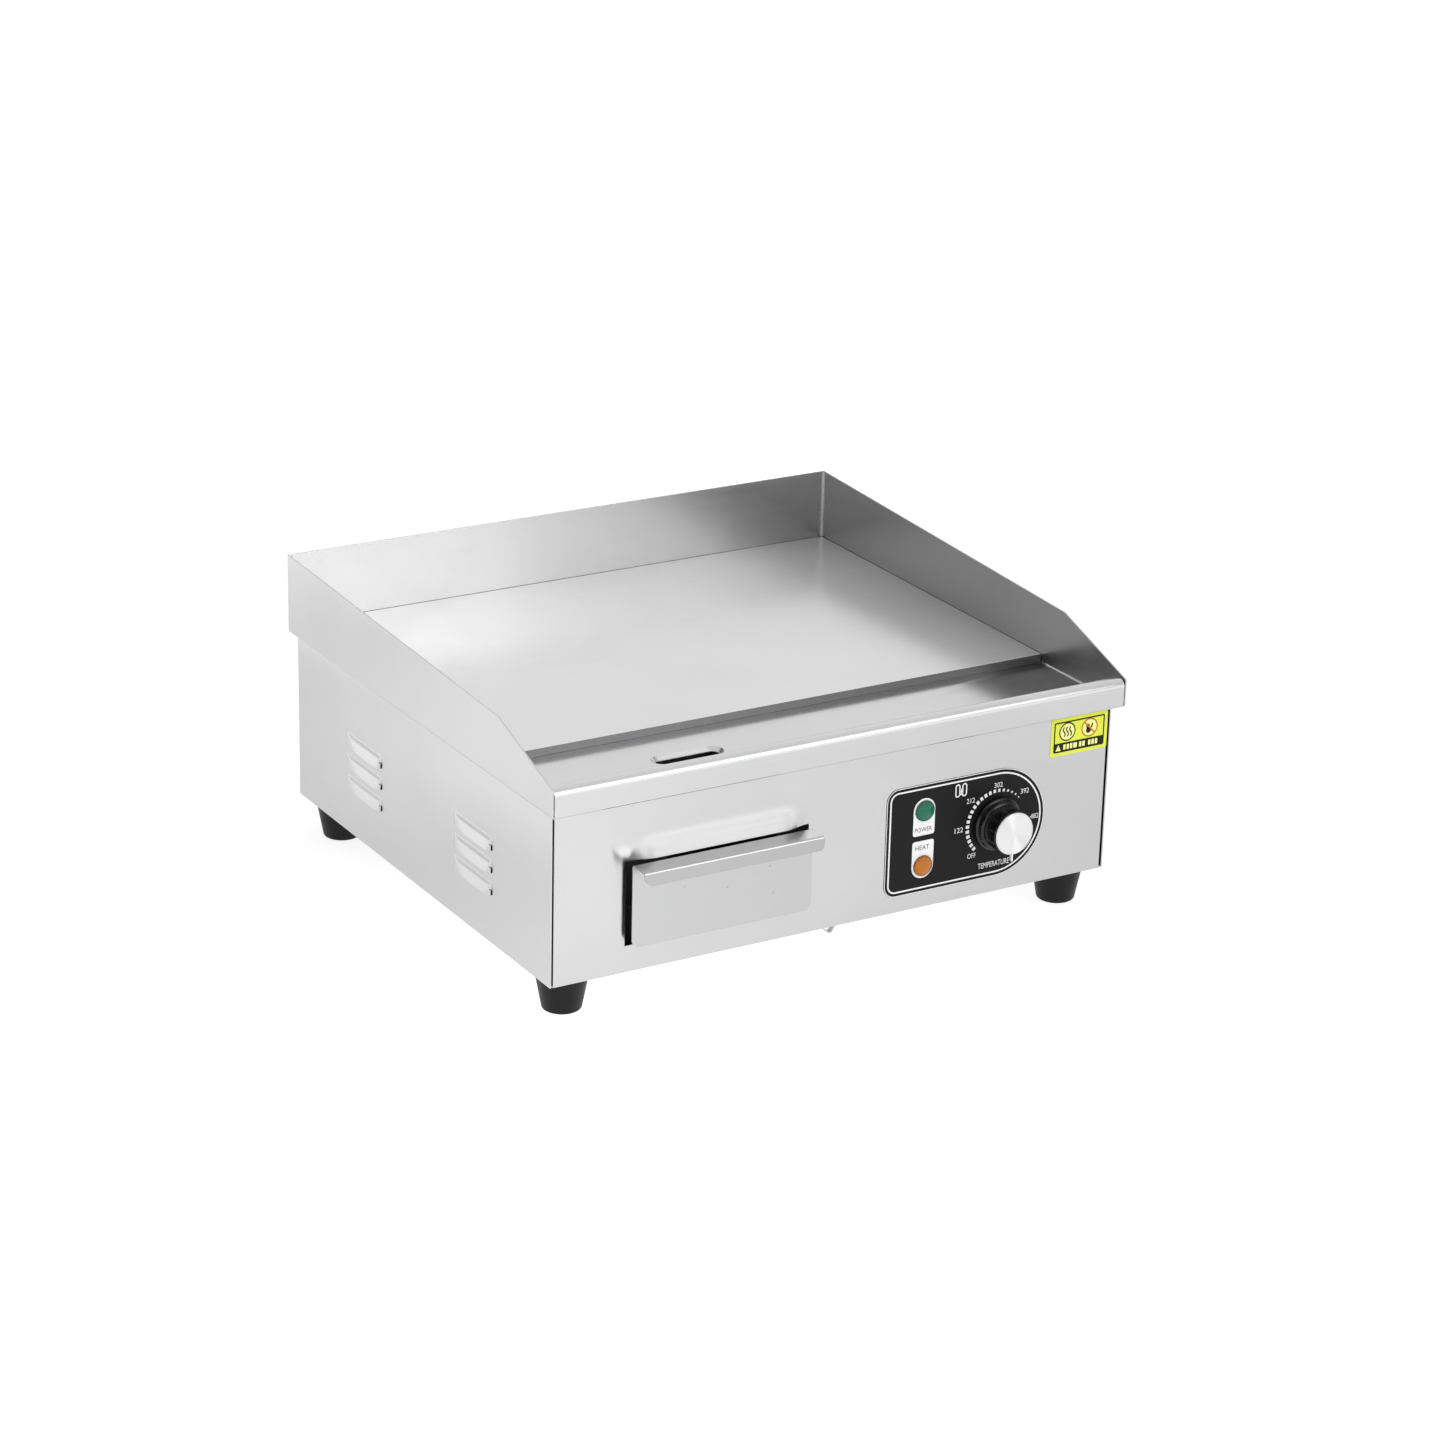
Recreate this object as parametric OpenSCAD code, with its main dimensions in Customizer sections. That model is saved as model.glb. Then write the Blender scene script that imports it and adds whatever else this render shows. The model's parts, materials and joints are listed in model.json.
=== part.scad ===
// Countertop electric griddle: sheet-steel body, steel cooking plate in a tray with splash guards,
// grease shelf with a drain slot, pull-out grease drawer and a rotary thermostat.
// Row frame: X to the right, Y to the rear, Z up; origin on the table at the middle of the footprint.
// Modules below work in the body frame, which body_frame() places: X = 0 at the middle,
// Y = 0 on the front panel's face, Z = 0 at the body's bottom edge.

/* [Body] */
// Width over the side panels
body_w = 529; // [520:1:534]
// Depth from the front panel to the rear panel
body_d = 460; // [450:1:470]
// Height of the side, front and rear panels
body_h = 147.5; // [144:0.5:152]
// Thickness of the steel sheet
sheet = 1.2; // [0.8:0.1:1.4]
// Open seam between the front panel and each side panel
corner_gap = 1.5; // [0.8:0.1:2.5]

/* [Tray] */
// Width over the splash guards
tray_w = 540; // [538:1:548]
// How far the lip stands in front of the front panel
lip_reach = 11.5; // [8:0.5:14]
// How far the rear guard stands behind the rear panel
rear_reach = 6.5; // [4:0.5:9]
// Height of the front lip above the body's bottom edge
lip_top = 171.8; // [168:0.2:176]
// Front-to-back width of the raised front lip
lip_w = 12.8; // [10:0.2:16]
// Height of the guards at the rear
guard_rear_h = 218.4; // [205:0.2:230]
// Height of the side guards where they start to slope down to the lip
guard_front_h = 202.4; // [190:0.2:204]
// Distance from the front panel to the point where that slope starts
guard_break = 79.6; // [70:0.2:100]
// Outside radius of the tray's bottom bends
bend_r = 3; // [2.5:0.5:4]

/* [Cooking plate] */
// Thickness of the cooking plate
plate_t = 7; // [6:0.5:10]
// Distance from the front panel to the plate's front edge
plate_front = 109; // [100:1:115]

/* [Grease slot and drawer] */
// Middle of the grease slot, to the right of the centre line
slot_x = -110; // [-125:1:-100]
// Middle of the grease slot, behind the front panel
slot_y = 58; // [52:1:62]
// Middle of the drawer, to the right of the centre line
drawer_x = -114; // [-118:1:-110]
// Width of the drawer front
drawer_w = 165; // [150:1:170]
// Height of the drawer front
drawer_h = 71; // [65:1:72]
// Depth of the drawer's tray
drawer_depth = 258; // [200:1:270]
// Distance from the drawer front's face to the front of its handle
handle_reach = 18.5; // [15:0.5:18.5]

/* [Controls] */
// Thermostat and knob centre, to the right of the centre line
knob_x = 153; // [148:1:156]
// Thermostat and knob centre, above the body's bottom edge
knob_z = 61.75; // [60:0.25:64]
// Radius of the knob's grip
knob_r = 19; // [17:0.5:20]
// Distance of the indicator lamps from the knob's centre
lamp_dx = 71.7; // [66:0.1:74]
// Height of each lamp above or below the knob's centre
lamp_dz = 24.3; // [20:0.1:26]

/* [Feet] */
// Height of the rubber feet
foot_h = 29.5; // [20:0.5:35]
// Radius of a foot where it meets the body
foot_r = 21.5; // [16:0.5:22]

/* [Hidden] */
$fn = 64;
eps = 0.01;

// Overall depth, which sets the origin halfway between the handle's front and the gland's rear
drawer_proud = 9;
gland_reach = 16.5;
overall_d = drawer_proud + handle_reach + body_d + gland_reach;
front_y = drawer_proud + handle_reach - overall_d / 2;

// Body
side_x = body_w / 2;
flange_w = 12;
seam_depth = 17;
screw_inset = 7;
screw_r = 2;
screw_rows = [25, 74, 122];
tray_screw_y = [140, 420];
fit_gap = 0.1;
panel_half = side_x - sheet - corner_gap;
foot_left_x = 22.5 - side_x;
foot_right_x = side_x - 31;
foot_front_y = 22;
foot_rear_y = body_d - 37;
foot_low_r = foot_r - 5;
foot_recess_h = 5.5;
foot_recess_r = 6;
foot_screw_r = 2.5;
foot_spots = [[foot_left_x, foot_front_y], [foot_right_x, foot_front_y],
  [foot_left_x, foot_rear_y], [foot_right_x, foot_rear_y]];

// Louvres in the side panels: two groups of three
louvre_len = 66;
louvre_h = 12;
louvre_out = 4;
louvre_r = 3.5;
louvre_rows = [41.5, 60.8, 80];
louvre_fronts = [99, 298];

// Tray
tray_x = tray_w / 2;
floor_z = body_h;
shelf_z = floor_z + sheet;
tray_rear = body_d + rear_reach;
lip_back = lip_w - lip_reach;
lip_end_gap = 0.8;
cutout_x = 240;
cutout_y = [plate_front + 16, body_d - 12];
slot_pitch = 46;
slot_r = 6;
dish_r = 10;
dish_depth = 3.2;

// Cooking plate and what is bolted to it
plate_gap = 0.5;
plate_x = tray_x - sheet - plate_gap;
plate_rear = tray_rear - sheet - plate_gap;
plate_z = shelf_z;
plate_corner = 4;
plate_chamfer = 1.5;
element_r = 4;
element_z = plate_z - element_r;
element_legs = [25, 85, 145, 205];
element_front = 165;
element_rear = 400;
element_bend = (element_legs[1] - element_legs[0]) / 2;
element_drop_r = 15;
element_bottom = 100;
element_end_y = element_rear + element_drop_r;
bead_h = 8;
blade_h = 10;
blade_z = element_bottom - bead_h - blade_h;
stud_r = 3;
stud_x = [-175, -55, 55, 175];
bar_y = [200, 285, 370];
bar_x = 226;
bar_t = 3;
bar_w = 20;
bar_z = element_z - element_r - bar_t;
nut_h = 5;
nut_r = 5.77;
pad_z = [117, 131.5];
pad_x = 232;
pad_y = [128, 442];
shield_t = 1;
shield_top = 144;
shield_x = 236;
shield_y = [124, 446];

// Drawer and its opening
open_x = [drawer_x - drawer_w / 2 - 1.5, drawer_x + drawer_w / 2 + 1.5];
open_z = [23, 95.3];
flap_z = 24;
flap_top = flap_z + drawer_h - 0.2;
flap_r = 7;
handle_drop = 12;
handle_corner = 9.5;
flange_r = 4.5;
hood_rise = 6;
hood_half = 75;
hood_flat = 2;
hood_slope = 16;
hood_reach = hood_flat + hood_slope;
hood_arc = hood_slope / 2 / sin(2 * atan(hood_rise / hood_slope));
weld_spots = [[-149, 67], [-68, 69], [-149, 45.5], [-68, 45], [-110, 59]];
bin_w = 144;
bin_z = [29, 79];
bin_t = 1;
bin_front = sheet - drawer_proud;
rail_gap = 0.3;
rail_end = bin_front + drawer_depth + 2;

// Controls
label_t = 0.5;
label_left = 44.4;
label_r = 47.6;
label_corner = 11;
knob_front = -27.2;
cap_t = 0.8;
skirt_back = -3;
skirt_r = 23;
shaft_r = 3;
shaft_run = 0.05;
neck_r = 5;
stat_x = 17;
stat_y = [13, 47];
stat_z = 21;
stat_screw_x = 14;
lens_r = 8.8;
lamp_barrel_r = 6;
lamp_x = knob_x - lamp_dx;
lamp_depth = 25.5;
lamp_blade = 8.5;
lamp_spots = [knob_z + lamp_dz, knob_z - lamp_dz];

// Rear inlet and earth terminal
gland_x = 200;
gland_z = 36;
gland_r = 10;
cord_r = 4.5;
earth_x = 150;

// Terminal block and the wires to it
way_x = [138, 154, 170, 186, 202];
way_z = 10;
way_front = 399.5;
way_rear = 414.5;
block_y = [395, 419];
block_z = 26;
wire_r = 1.6;

module body_frame() translate([0, front_y, foot_h]) children();

// Shape drawn in (Y, Z) and run along X from x0
module along_x(x0, len) translate([x0, 0, 0]) rotate([90, 0, 90]) linear_extrude(len) children();

// Shape drawn in (X, Z) and run along +Y from y0
module along_y(y0, len) translate([0, y0 + len, 0]) rotate([90, 0, 0]) linear_extrude(len) children();

// Cylinder along +Y from y0
module rod_y(x, y0, z, r, len) translate([x, y0, z]) rotate([-90, 0, 0]) cylinder(r = r, h = len);

module block(lo, hi) translate(lo) cube(hi - lo);

// Rectangle from lo to hi with its corners rounded to r
module round_rect(lo, hi, r) {
  translate([lo[0] + r, lo[1]]) square([hi[0] - lo[0] - 2 * r, hi[1] - lo[1]]);
  translate([lo[0], lo[1] + r]) square([hi[0] - lo[0], hi[1] - lo[1] - 2 * r]);
  for (x = [lo[0] + r, hi[0] - r], y = [lo[1] + r, hi[1] - r]) translate([x, y]) circle(r = r);
}

// Rectangle from lo to hi whose two lower corners are rounded to r
module trough(lo, hi, r) {
  translate([lo[0] + r, lo[1]]) square([hi[0] - lo[0] - 2 * r, hi[1] - lo[1]]);
  translate([lo[0], lo[1] + r]) square([hi[0] - lo[0], hi[1] - lo[1] - r]);
  for (x = [lo[0] + r, hi[0] - r]) translate([x, lo[1] + r]) circle(r = r);
}

// Round-ended slot outline, len between the end centres
module slot_outline(len, r) {
  square([len, 2 * r], center = true);
  for (s = [-1, 1]) translate([s * len / 2, 0]) circle(r = r);
}

// Hexagonal nut or head with a bore, axis +Z from z = 0
module hex_nut(r, h, bore) difference() {
  cylinder(r = r, h = h, $fn = 6);
  translate([0, 0, -1]) cylinder(r = bore, h = h + 2);
}

// Side view of the guards: the rear height, the gentle slope and the cut down to the lip
module guard_outline(inset) polygon([
  [-lip_reach - inset, floor_z - 1],
  [-lip_reach - inset, lip_top],
  [guard_break, guard_front_h],
  [tray_rear + 1, guard_rear_h + (guard_rear_h - guard_front_h) / (tray_rear - guard_break)],
  [tray_rear + 1, floor_z - 1]]);

// Pan of the tray: round-bottomed in the front view and in the side view
module pan(inset, front) intersection() {
  along_y(front, tray_rear - inset - front)
    trough([-tray_x + inset, floor_z + inset], [tray_x - inset, 300], bend_r - inset);
  along_x(-tray_x, tray_w) intersection() {
    trough([-100, floor_z + inset], [tray_rear - inset, 300], bend_r - inset);
    translate([front, 0]) square([600, 300]);
  }
}

module lip_profile() difference() {
  lip_shape(0, 6, 4, 2);
  lip_shape(sheet, 6 - sheet, 4 - sheet, 2 - sheet);
  translate([-lip_reach + 8, floor_z - 1]) square([lip_w - 8 - sheet, sheet + 2]);
}

// Cross-section of the lip: both top edges and the lower front edge are rounded
module lip_shape(inset, r_front, r_back, r_low) {
  lo = [-lip_reach + inset, floor_z + inset];
  hi = [lip_back - inset, lip_top - inset];
  translate([lo[0], lo[1] + r_low]) square([hi[0] - lo[0], hi[1] - lo[1] - r_front - r_low]);
  translate([lo[0] + r_low, lo[1]]) square([hi[0] - lo[0] - r_low, 2 * r_low]);
  translate([lo[0] + r_low, lo[1] + r_low]) circle(r = r_low);
  translate([lo[0] + r_front, lo[1]]) square([hi[0] - lo[0] - r_front - r_back, hi[1] - lo[1]]);
  translate([lo[0] + r_front, hi[1] - r_front]) circle(r = r_front);
  translate([hi[0] - r_back, hi[1] - r_back]) circle(r = r_back);
  translate([hi[0] - r_back, lo[1]]) square([r_back, hi[1] - lo[1] - r_back]);
}

// Sheet pressed down round the grease slot
module slot_dish() translate([slot_x, slot_y, shelf_z]) {
  for (s = [0, 180]) rotate([0, 0, s]) translate([slot_pitch / 2, 0, 0])
    rotate([0, 0, -90]) rotate_extrude(angle = 180) dish_profile();
  for (s = [0, 180]) rotate([0, 0, s]) translate([-slot_pitch / 2, 0, 0])
    rotate([90, 0, 90]) linear_extrude(slot_pitch) dish_profile();
}

module dish_profile() polygon([[dish_r + 0.5, 0], [dish_r - 0.5, 0], [slot_r + 0.8, -dish_depth],
  [slot_r, -dish_depth], [slot_r, -dish_depth - sheet], [slot_r + 1.4, -dish_depth - sheet],
  [dish_r + 0.5, -sheet]]);

// Places on each side panel's top flange where a screw goes up into the tray
module tray_screw_spots() for (s = [-1, 1], y = tray_screw_y)
  translate([s * (side_x - screw_inset), y, 0]) children();

module tray() color("silver") body_frame() {
  difference() {
    intersection() {
      difference() {
        pan(0, -lip_reach);
        pan(sheet, -lip_reach - 1);
      }
      along_x(-tray_x, tray_w) guard_outline(0);
    }
    block([-tray_x + sheet, -lip_reach - 1, floor_z - 1], [tray_x - sheet, lip_back, lip_top + 5]);
    translate([slot_x, slot_y, floor_z - 1]) linear_extrude(sheet + 2) slot_outline(slot_pitch, dish_r);
    translate([0, 0, floor_z - 1]) linear_extrude(sheet + 2)
      round_rect([-cutout_x, cutout_y[0]], [cutout_x, cutout_y[1]], 6);
    tray_screw_spots() translate([0, 0, floor_z - 1]) cylinder(r = screw_r, h = sheet + 2);
  }
  along_x(-tray_x + sheet + lip_end_gap, tray_w - 2 * (sheet + lip_end_gap)) lip_profile();
  block([-tray_x + bend_r, lip_back - sheet, floor_z], [tray_x - bend_r, lip_back + eps, shelf_z]);
  slot_dish();
}

// Weld bead in each rear inner corner of the guards, from the plate up
module guard_welds() color("gainsboro") body_frame()
  for (s = [-1, 1]) intersection() {
    translate([s * (tray_x - sheet), tray_rear - sheet, plate_z + plate_t + 0.4])
      cylinder(r = 2.2, h = guard_rear_h - plate_z - plate_t - 1);
    block([-tray_x + sheet, 0, plate_z], [tray_x - sheet, tray_rear - sheet, 300]);
  }

// Slab with rounded rear corners; its lower edges are chamfered to clear the tray's bends
module griddle_plate() color("lightgray") body_frame() intersection() {
  translate([0, 0, plate_z]) linear_extrude(plate_t) union() {
    round_rect([-plate_x, plate_front], [plate_x, plate_rear], plate_corner);
    translate([-plate_x, plate_front]) square([2 * plate_x, 2 * plate_corner]);
  }
  along_y(plate_front, plate_rear - plate_front) polygon([[-plate_x + plate_chamfer, plate_z],
    [plate_x - plate_chamfer, plate_z], [plate_x, plate_z + plate_chamfer], [plate_x, plate_z + plate_t],
    [-plate_x, plate_z + plate_t], [-plate_x, plate_z + plate_chamfer]]);
  along_x(-plate_x, 2 * plate_x) polygon([[plate_front, plate_z], [plate_rear - plate_chamfer, plate_z],
    [plate_rear, plate_z + plate_chamfer], [plate_rear, plate_z + plate_t],
    [plate_front, plate_z + plate_t]]);
}

// Corner studs also carry the heat shield, so they are longer
module each_stud(long_only = false)
  for (x = stud_x, y = bar_y)
    if (!long_only || (abs(x) > 100 && abs(y - bar_y[1]) > 1)) translate([x, y, 0]) children();

module plate_studs() color("gray") body_frame() {
  difference() {
    each_stud() translate([0, 0, bar_z - nut_h - 1]) cylinder(r = stud_r, h = plate_z - bar_z + nut_h + 1);
    each_stud(true) translate([0, 0, 100]) cylinder(r = stud_r + 1, h = 60);
  }
  each_stud(true) translate([0, 0, pad_z[0] - shield_t - nut_h - 2])
    cylinder(r = stud_r, h = plate_z - pad_z[0] + shield_t + nut_h + 2);
}

// Scoop-shaped louvre on the left panel: open at the bottom and at the lower front
module louvre(y0, z0) {
  difference() {
    louvre_form(y0, z0, 0);
    louvre_form(y0, z0, 1);
    block([-side_x - louvre_out - 1, y0 - 1, z0 - 1], [-side_x - 0.6, y0 + 2, z0 + louvre_h * 0.5]);
  }
}

module louvre_form(y0, z0, inset) intersection() {
  along_y(y0 + inset, louvre_len - 2 * inset) {
    translate([-side_x - louvre_out + inset, z0 - inset])
      square([louvre_out - inset + inset * sheet, louvre_h - louvre_r]);
    translate([-side_x - louvre_out + louvre_r, z0 - inset])
      square([louvre_out - louvre_r + inset * sheet, louvre_h]);
    translate([-side_x - louvre_out + louvre_r, z0 + louvre_h - louvre_r - inset])
      circle(r = louvre_r - inset);
  }
  along_x(-side_x - 10, 20) louvre_face(y0 + inset, z0 - inset, louvre_len - 2 * inset, louvre_r - inset);
}

// Louvre outline seen from the side: square below, rounded at its two top corners
module louvre_face(y0, z0, len, r) {
  translate([y0, z0]) square([len, louvre_h - r]);
  translate([y0 + r, z0]) square([len - 2 * r, louvre_h]);
  for (y = [y0 + r, y0 + len - r]) translate([y, z0 + louvre_h - r]) circle(r = r);
}

// Left panel; the right one is its mirror image
module side_panel() {
  difference() {
    union() {
      block([-side_x, 0, 0], [-side_x + sheet, body_d, body_h]);
      block([-side_x, 0, body_h - sheet], [-side_x + flange_w, body_d, body_h]);
      block([-side_x, seam_depth, sheet], [-side_x + flange_w, seam_depth + sheet, body_h]);
      block([-side_x, body_d - 2 * sheet, sheet], [-side_x + flange_w, body_d - sheet, body_h]);
    }
    for (y = louvre_fronts, z = louvre_rows)
      block([-side_x - 1, y + 2, z + 1], [-side_x + sheet + 1, y + louvre_len - 2, z + louvre_h - 3]);
    block([-side_x + sheet, -1, body_h - 2 * sheet], [-side_x + flange_w + 1, seam_depth, body_h + 1]);
    block([-side_x + sheet, body_d - sheet, 0], [-side_x + flange_w + 1, body_d + 1, body_h + 1]);
    for (z = screw_rows) rod_y(-side_x + screw_inset, body_d - 10, z, screw_r, 12);
    tray_screw_spots() translate([0, 0, body_h - 3]) cylinder(r = screw_r, h = 5);
  }
  for (y = louvre_fronts, z = louvre_rows) louvre(y, z);
}

module left_side_panel() color("silver") body_frame() side_panel();
module right_side_panel() color("silver") body_frame() mirror([1, 0, 0]) side_panel();

module drawer_opening() round_rect([open_x[0], open_z[0]], [open_x[1], open_z[1]], 4);

// Area under the hood's outer face, in (distance from its middle line, height above the panel):
// a flat top, then two equal arcs that bend down and out into the panel
module hood_area() {
  half = hood_flat + hood_slope / 2;
  intersection() {
    translate([0, -sheet]) square([half, hood_rise + sheet]);
    union() {
      square([2 * hood_flat, 2 * hood_rise], center = true);
      translate([hood_flat, hood_rise - hood_arc]) circle(r = hood_arc);
    }
  }
  difference() {
    translate([half, -sheet]) square([hood_slope / 2, hood_rise / 2 + sheet]);
    translate([hood_reach, hood_arc]) circle(r = hood_arc);
  }
}

module hood_shell() difference() {
  hood_area();
  translate([0, -sheet]) hood_area();
}

// Pressed hood over the drawer opening, with round ends
module hood() difference() {
  translate([drawer_x, 0, open_z[1]]) {
    translate([-hood_half, 0, 0]) rotate([90, 0, 90]) linear_extrude(2 * hood_half)
      rotate(90) hood_shell();
    for (s = [0, 1]) mirror([s, 0, 0]) translate([hood_half, 0, 0]) rotate([90, 0, 0])
      rotate([0, 0, -90]) rotate_extrude(angle = 180) hood_shell();
  }
  along_y(-20, 30) drawer_opening();
}

// Part of the front panel that is pressed out into the hood
module hood_place() {
  translate([drawer_x - hood_half, open_z[1] - 1]) square([2 * hood_half, hood_reach + 1]);
  for (s = [-1, 1]) translate([drawer_x + s * hood_half, open_z[1]]) circle(r = hood_reach);
}

// Holes through the front panel and its label for the thermostat's neck and screws and for the lamps
module control_holes() {
  rod_y(knob_x, -2, knob_z, neck_r + 0.5, sheet + 4);
  for (s = [-1, 1]) rod_y(knob_x + stat_screw_x * s, -2, knob_z, screw_r + fit_gap, sheet + 4);
  for (z = lamp_spots) rod_y(lamp_x, -2, z, lamp_barrel_r + 2 * fit_gap, sheet + 4);
}

module front_panel() color("silver") body_frame() {
  difference() {
    union() {
      block([-panel_half, 0, 0], [panel_half, sheet, body_h]);
      for (s = [0, 1]) mirror([s, 0, 0]) {
        block([-panel_half, 0, sheet + 0.8], [-panel_half + sheet, seam_depth, body_h - 3 * sheet]);
        block([-panel_half, seam_depth - sheet, sheet + 0.8],
          [-panel_half + 10, seam_depth, body_h - 3 * sheet]);
      }
      block([-panel_half + 3, 0, body_h - sheet], [panel_half - 3, 14, body_h]);
    }
    along_y(-1, sheet + 2) drawer_opening();
    along_y(-1, sheet + 2) hood_place();
    control_holes();
  }
  hood();
}

module rear_panel() color("silver") body_frame() difference() {
  union() {
    block([-side_x + sheet + 0.3, body_d - sheet, 0], [side_x - sheet - 0.3, body_d, body_h]);
    block([-side_x + 20, body_d - 14, body_h - sheet], [side_x - 20, body_d, body_h]);
  }
  for (x = [-180:20:-40]) translate([x, 0, 100]) along_y(body_d - 2, 3) rotate(90) slot_outline(40, 2.5);
  for (x = [40:20:180]) translate([x, 0, 100]) along_y(body_d - 2, 3) rotate(90) slot_outline(40, 2.5);
  rod_y(gland_x, body_d - 5, gland_z, gland_r + fit_gap, 10);
  rod_y(earth_x, body_d - 5, gland_z, stud_r + fit_gap, 10);
  for (s = [-1, 1], z = screw_rows) rod_y(s * (side_x - screw_inset), body_d - 5, z, screw_r, 10);
}

module base_plate() color("darkgray") body_frame() difference() {
  block([-side_x + sheet + 0.3, sheet + 0.3, 0], [side_x - sheet - 0.3, body_d - sheet - 0.3, sheet]);
  for (x = [0:24:192], y = [120, 330]) translate([x, y, -1]) linear_extrude(4) rotate(90) slot_outline(50, 3);
  for (p = foot_spots) translate([p[0], p[1], -1]) cylinder(r = foot_screw_r, h = 4);
}

// Pan-head screw along +Z: the head's underside is at z = 0 and the shank goes up
module pan_screw(r, len, head_r, head_h) {
  cylinder(r = r, h = len);
  translate([0, 0, -head_h]) difference() {
    cylinder(r = head_r, h = head_h);
    for (a = [0, 90]) rotate([0, 0, a]) translate([-head_r * 0.55, -0.5, -eps])
      cube([head_r * 1.1, 1, 0.9]);
  }
}

module panel_screws() color("gainsboro") body_frame()
  for (s = [-1, 1], z = screw_rows)
    translate([s * (side_x - screw_inset), body_d, z]) rotate([90, 0, 0]) pan_screw(screw_r, 8, 4, 2.4);

module tray_screws() color("gainsboro") body_frame()
  tray_screw_spots() translate([0, 0, body_h - sheet]) pan_screw(screw_r, 2 * sheet - 0.1, 4, 2.4);

// Half of the heater: a tube in four legs, with its two ends turned down at the rear
module heating_element() {
  for (x = element_legs) rod_y(x, element_front, element_z, element_r, element_rear - element_front);
  for (x = [element_legs[0], element_legs[2]]) translate([x + element_bend, element_front, element_z])
    rotate([0, 0, 180]) rotate_extrude(angle = 180) translate([element_bend, 0]) circle(r = element_r);
  translate([element_legs[1] + element_bend, element_rear, element_z])
    rotate_extrude(angle = 180) translate([element_bend, 0]) circle(r = element_r);
  for (x = [element_legs[0], element_legs[3]]) {
    translate([x, element_rear, element_z - element_drop_r]) rotate([90, 0, 90])
      rotate_extrude(angle = 90) translate([element_drop_r, 0]) circle(r = element_r);
    translate([x, element_end_y, element_bottom])
      cylinder(r = element_r, h = element_z - element_drop_r - element_bottom);
  }
}

module left_heating_element() color("dimgray") body_frame() mirror([1, 0, 0]) heating_element();
module right_heating_element() color("dimgray") body_frame() heating_element();

// Ceramic bead and blade at each end of the heater tubes
module element_terminals() color("ivory") body_frame()
  for (s = [-1, 1], x = [element_legs[0], element_legs[3]])
    translate([s * x, element_end_y, 0]) {
      translate([0, 0, element_bottom - bead_h]) cylinder(r = 4.5, h = bead_h);
      translate([-3, -0.4, blade_z]) cube([6, 0.8, blade_h]);
    }

module element_clamp_bars() color("gray") body_frame()
  for (y = bar_y) difference() {
    block([-bar_x, y - bar_w / 2, bar_z], [bar_x, y + bar_w / 2, bar_z + bar_t]);
    for (x = stud_x) translate([x, y, bar_z - 1]) cylinder(r = stud_r + 0.25, h = bar_t + 2);
  }

module clamp_nuts() color("gainsboro") body_frame()
  each_stud() translate([0, 0, bar_z - nut_h]) hex_nut(nut_r, nut_h, stud_r);

// Where the ends of the heater tubes pass down through the pad and the shield
module element_passages(r) for (s = [-1, 1], x = [element_legs[0], element_legs[3]])
  translate([s * x, element_end_y, pad_z[0] - 5]) cylinder(r = r, h = 40);

module insulation_pad() color("linen") body_frame() difference() {
  block([-pad_x, pad_y[0], pad_z[0]], [pad_x, pad_y[1], pad_z[1]]);
  each_stud(true) translate([0, 0, pad_z[0] - 1]) cylinder(r = stud_r + 0.5, h = 20);
  element_passages(6);
}

module heat_shield() color("silver") body_frame() difference() {
  block([-shield_x, shield_y[0], pad_z[0] - shield_t], [shield_x, shield_y[1], shield_top]);
  block([-shield_x + shield_t, shield_y[0] + shield_t, pad_z[0]],
    [shield_x - shield_t, shield_y[1] - shield_t, shield_top + 1]);
  each_stud(true) translate([0, 0, pad_z[0] - 3]) cylinder(r = stud_r + 0.25, h = 6);
  element_passages(7);
}

module shield_nuts() color("gainsboro") body_frame()
  each_stud(true) translate([0, 0, pad_z[0] - shield_t - nut_h]) hex_nut(nut_r, nut_h, stud_r);

// Capillary thermostat: bracket against the front panel, ceramic body and threaded neck
module thermostat() color("whitesmoke") body_frame() translate([knob_x, 0, knob_z]) difference() {
  union() {
    block([-20, sheet, -9], [20, sheet + 1.5, 9]);
    rod_y(0, -0.4, 0, neck_r, stat_y[0] + 1);
    block([-stat_x, stat_y[0], -stat_z], [stat_x, stat_y[1], stat_z]);
    for (s = [-1, 1]) block([10 * s - 2, sheet, -8], [10 * s + 2, stat_y[0] + 1, 8]);
    for (x = [-11, -4, 4, 11]) block([x - 0.4, stat_y[1] - 1, -15], [x + 0.4, stat_y[1] + 9, -9]);
  }
  rod_y(0, -2, 0, shaft_r + shaft_run, 24);
  for (s = [-1, 1]) rod_y(stat_screw_x * s, 0, 0, screw_r, 12.5);
}

module thermostat_screws() color("gainsboro") body_frame()
  for (s = [-1, 1]) translate([knob_x + stat_screw_x * s, -label_t, knob_z]) rotate([-90, 0, 0])
    pan_screw(screw_r, 5, 3.6, 1.6);

// Spindle with a flat for the knob
module thermostat_shaft() color("gainsboro") body_frame() difference() {
  rod_y(knob_x, -19, knob_z, shaft_r, 39);
  block([knob_x - 5, -20, knob_z + 1.6], [knob_x + 5, -4, knob_z + 5]);
}

module sensor_bulb() color("peru") body_frame() rod_y(115, 215, plate_z - 3, 3, 120);

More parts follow.
